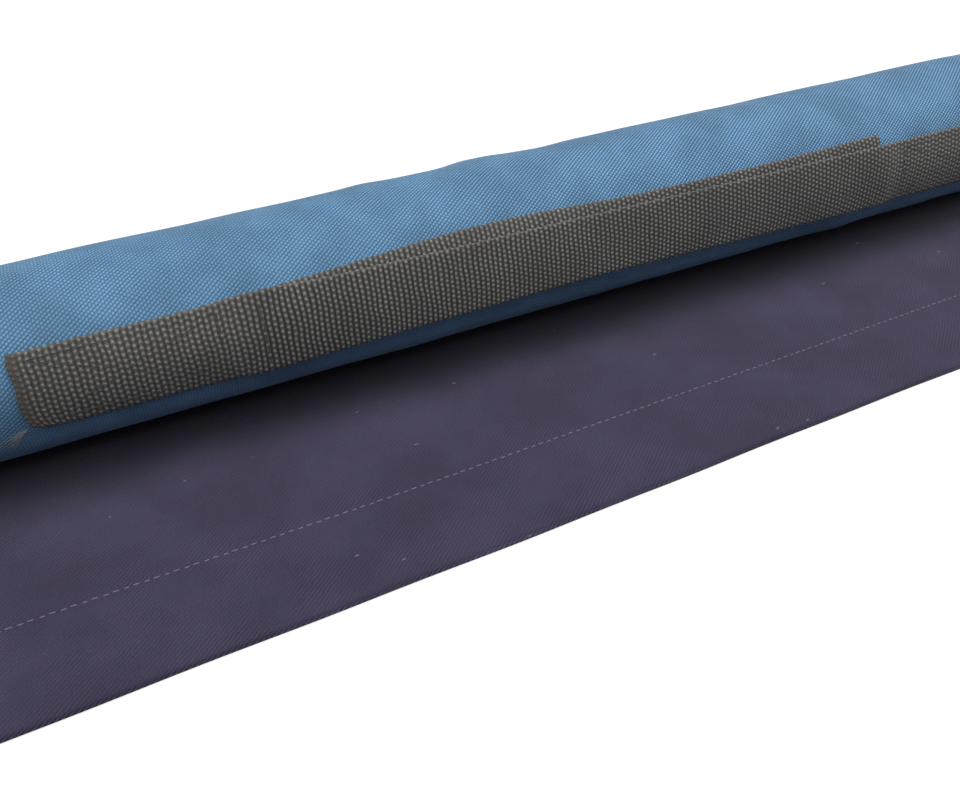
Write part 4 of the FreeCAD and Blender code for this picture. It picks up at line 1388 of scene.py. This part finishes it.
# %% Bindings
# Each point: how far in from the end face, and its radius, in mm
BINDING_SECTION = [(4.4, 26.75), (4.2, 27.3), (3.2, 27.62), (1.6, 27.68), (0.5, 27.5),
                   (-0.35, 27.0), (-0.8, 26.2), (-0.85, 25.2), (-0.6, 24.3), (-0.1, 23.8)]
SPIN_STEPS = 110
BINDING_CLOTH = 0.5 * MM
STITCHES_FROM_END = 4.7 * MM


def spun(name, section, x_end, side, thickness):
    """An open section spun round the tube's axis into a shell with thickness."""
    corners = [(x_end - side * depth * MM, 0, AXIS_Z + radius * MM) for depth, radius in section]
    piece = mesh_piece(name, corners, [(i, i + 1) for i in range(len(corners) - 1)], [])
    only(piece)
    bpy.ops.object.mode_set(mode="EDIT")
    bpy.ops.mesh.select_all(action="SELECT")
    bpy.ops.mesh.spin(steps=SPIN_STEPS, angle=math.tau, center=(x_end, 0, AXIS_Z), axis=(1, 0, 0))
    bpy.ops.mesh.select_all(action="SELECT")
    bpy.ops.mesh.remove_doubles(threshold=0.01 * MM)
    bpy.ops.mesh.normals_make_consistent(inside=False)
    bpy.ops.object.mode_set(mode="OBJECT")
    apply_modifier(piece, "SOLIDIFY", thickness=thickness, offset=0)
    return piece


def end_binding(name, side, body, node):
    """The folded tape round one end, with the slight unevenness of sewing."""
    piece = spun(name, BINDING_SECTION, side * LID_END, side, BINDING_CLOTH)
    points = points_of(piece)
    turn = np.arctan2(points[:, 1], points[:, 2] - AXIS_Z)
    points[:, 0] += side * (0.10 * np.sin(7 * turn) + 0.06 * np.sin(19 * turn + 1)) * MM
    set_points(piece, points)
    apply_modifier(piece, "SUBSURF", levels=1, render_levels=1)
    dress(piece, binding_tape, body)
    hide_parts(node)
    places = round_row(side * (LID_END - STITCHES_FROM_END), 0, 360, 0.05 * MM)
    sew(name + "_stitches", places, (node + "_thread",), body)


end_binding("base_binding_tape", -1, "case", "base_binding")
end_binding("lid_binding_tape", 1, "lid", "lid_binding")
print("two bound ends")

# %% [markdown]
# ## The foam
# The foam between the tube and the cover only shows at the mouth, and only when the lid is open.
# It is a shell with the tube's own roundness and softly rounded ends.

# %% Foam
FOAM_IN, FOAM_OUT = 25.1, 25.6
FOAM_SKIN = 0.3 * MM


def foam_shell(name, node, body):
    """A closed foam sleeve round the tube."""
    low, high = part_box(node)
    length = (high.x - low.x) / MM
    section = [(0.0, FOAM_IN + 0.3), (0.2, FOAM_OUT - 0.1), (0.6, FOAM_OUT), (length / 2, FOAM_OUT),
               (length - 0.6, FOAM_OUT), (length - 0.2, FOAM_OUT - 0.1), (length, FOAM_IN + 0.3)]
    piece = spun(name, section, low.x, -1, FOAM_SKIN)
    dress(piece, grey_foam, body)
    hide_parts(node)


foam_shell("foam_sleeve", "foam_wrap", "case")
foam_shell("lid_foam_sleeve", "lid_foam", "lid")
print("foam from", FOAM_IN, "to", FOAM_OUT, "mm off the axis")

# %% [markdown]
# ## Finishes for the rigid pieces
# The tube, the plugs and the slider with its pull are already right in the CAD. They only get
# their materials.

# %% Rigid pieces
RIGID = {"inner_tube": tube_plastic, "lid_ring": tube_plastic, "base_plug": plug_plastic,
         "lid_plug": plug_plastic, "zip_stops": slider_metal, "slider_body": slider_metal,
         "slider_bail": slider_metal, "pull_tab": slider_metal}
for node, material in RIGID.items():
    finish_with(frame["nodes"][node], material)
print(len(RIGID), "rigid pieces keep their CAD shape")

# %% [markdown]
# ## The floor and the sky
# The photograph has a plain white ground. The floor is pale grey to the light, so that little of
# it bounces back up, and a glow that only the camera and mirror-like surfaces see makes it white.
# It still takes the case's soft shadow. The sky is done the same way.

# %% Floor and sky
FLOOR_SIZE = 14.0
FLOOR_DROP = 0.2 * MM
FLOOR_GREY = rgb(0.35, 0.35, 0.35)
GLOW_NEAR, GLOW_FAR = 0.8, 1.0
GLOW_FROM, GLOW_TO = 0.9, 2.2
WHITE = rgb(1, 1, 1)
WORLD_LIGHT = 0.02


def seen_rays(tree):
    """1 for rays from the camera, or through gloss or glass, and 0 for the light on things."""
    rays = add_node(tree, "ShaderNodeLightPath")
    return math_node(tree, "MAXIMUM", rays.outputs["Is Camera Ray"],
                     math_node(tree, "MAXIMUM", rays.outputs["Is Glossy Ray"],
                               rays.outputs["Is Transmission Ray"]))


def pale_floor_finish():
    """White to the eye and in reflections, and a plain pale diffuse floor to light."""
    material = bpy.data.materials.new("pale_floor")
    material.use_nodes = True
    tree = material.node_tree
    tree.nodes.clear()
    diffuse = add_node(tree, "ShaderNodeBsdfDiffuse", {"Color": FLOOR_GREY})
    place = add_node(tree, "ShaderNodeTexCoord")
    far = add_node(tree, "ShaderNodeVectorMath", {0: place.outputs["Object"]}, operation="LENGTH")
    level = ramp(tree, far.outputs["Value"], GLOW_FROM, GLOW_TO, GLOW_NEAR, GLOW_FAR)
    strength = math_node(tree, "MULTIPLY", seen_rays(tree), level)
    glow = add_node(tree, "ShaderNodeEmission", {"Color": WHITE, "Strength": strength})
    both = add_node(tree, "ShaderNodeAddShader", {0: diffuse.outputs[0], 1: glow.outputs[0]})
    add_node(tree, "ShaderNodeOutputMaterial", {"Surface": both.outputs[0]})
    return material


def pale_sky():
    """A white world to the eye that adds only a little light."""
    world = bpy.context.scene.world or bpy.data.worlds.new("studio")
    bpy.context.scene.world = world
    world.use_nodes = True
    tree = world.node_tree
    tree.nodes.clear()
    strength = ramp(tree, seen_rays(tree), 0.0, 1.0, WORLD_LIGHT, 1.0)
    sky = add_node(tree, "ShaderNodeBackground", {"Color": WHITE, "Strength": strength})
    add_node(tree, "ShaderNodeOutputWorld", {"Surface": sky.outputs[0]})


deselect()
bpy.ops.mesh.primitive_plane_add(size=FLOOR_SIZE, location=(0, 0, -FLOOR_DROP))
floor = bpy.context.object
floor.name = "pale_floor"
floor.data.materials.append(pale_floor_finish())
pale_sky()
print("floor", FLOOR_SIZE, "m across")

# %% [markdown]
# ## The light
# One broad, soft light hangs overhead, as the photograph's shadows show: they are close under the
# case, and they have no hard edge.

# %% Light
LAMP_PLACE = (0.15, -0.30, 1.25)
LAMP_TARGET = (0.10, -0.05, 0)
LAMP_SIZE = (3.0, 1.3)
LAMP_WATTS = 29.5

deselect()
bpy.ops.object.light_add(type="AREA", location=LAMP_PLACE)
lamp = bpy.context.object
lamp.name = "ceiling"
lamp.data.shape = "RECTANGLE"
lamp.data.size, lamp.data.size_y = LAMP_SIZE
lamp.data.energy = LAMP_WATTS
lamp.rotation_mode = "QUATERNION"
lamp.rotation_quaternion = (Vector(LAMP_TARGET) - Vector(LAMP_PLACE)).to_track_quat("-Z", "Y")
print("one light of", LAMP_WATTS, "watts")

# %% [markdown]
# ## Colours as written
# The Standard view shows a colour about as it is written.

# %% View settings and the end
bpy.context.scene.view_settings.view_transform = "Standard"
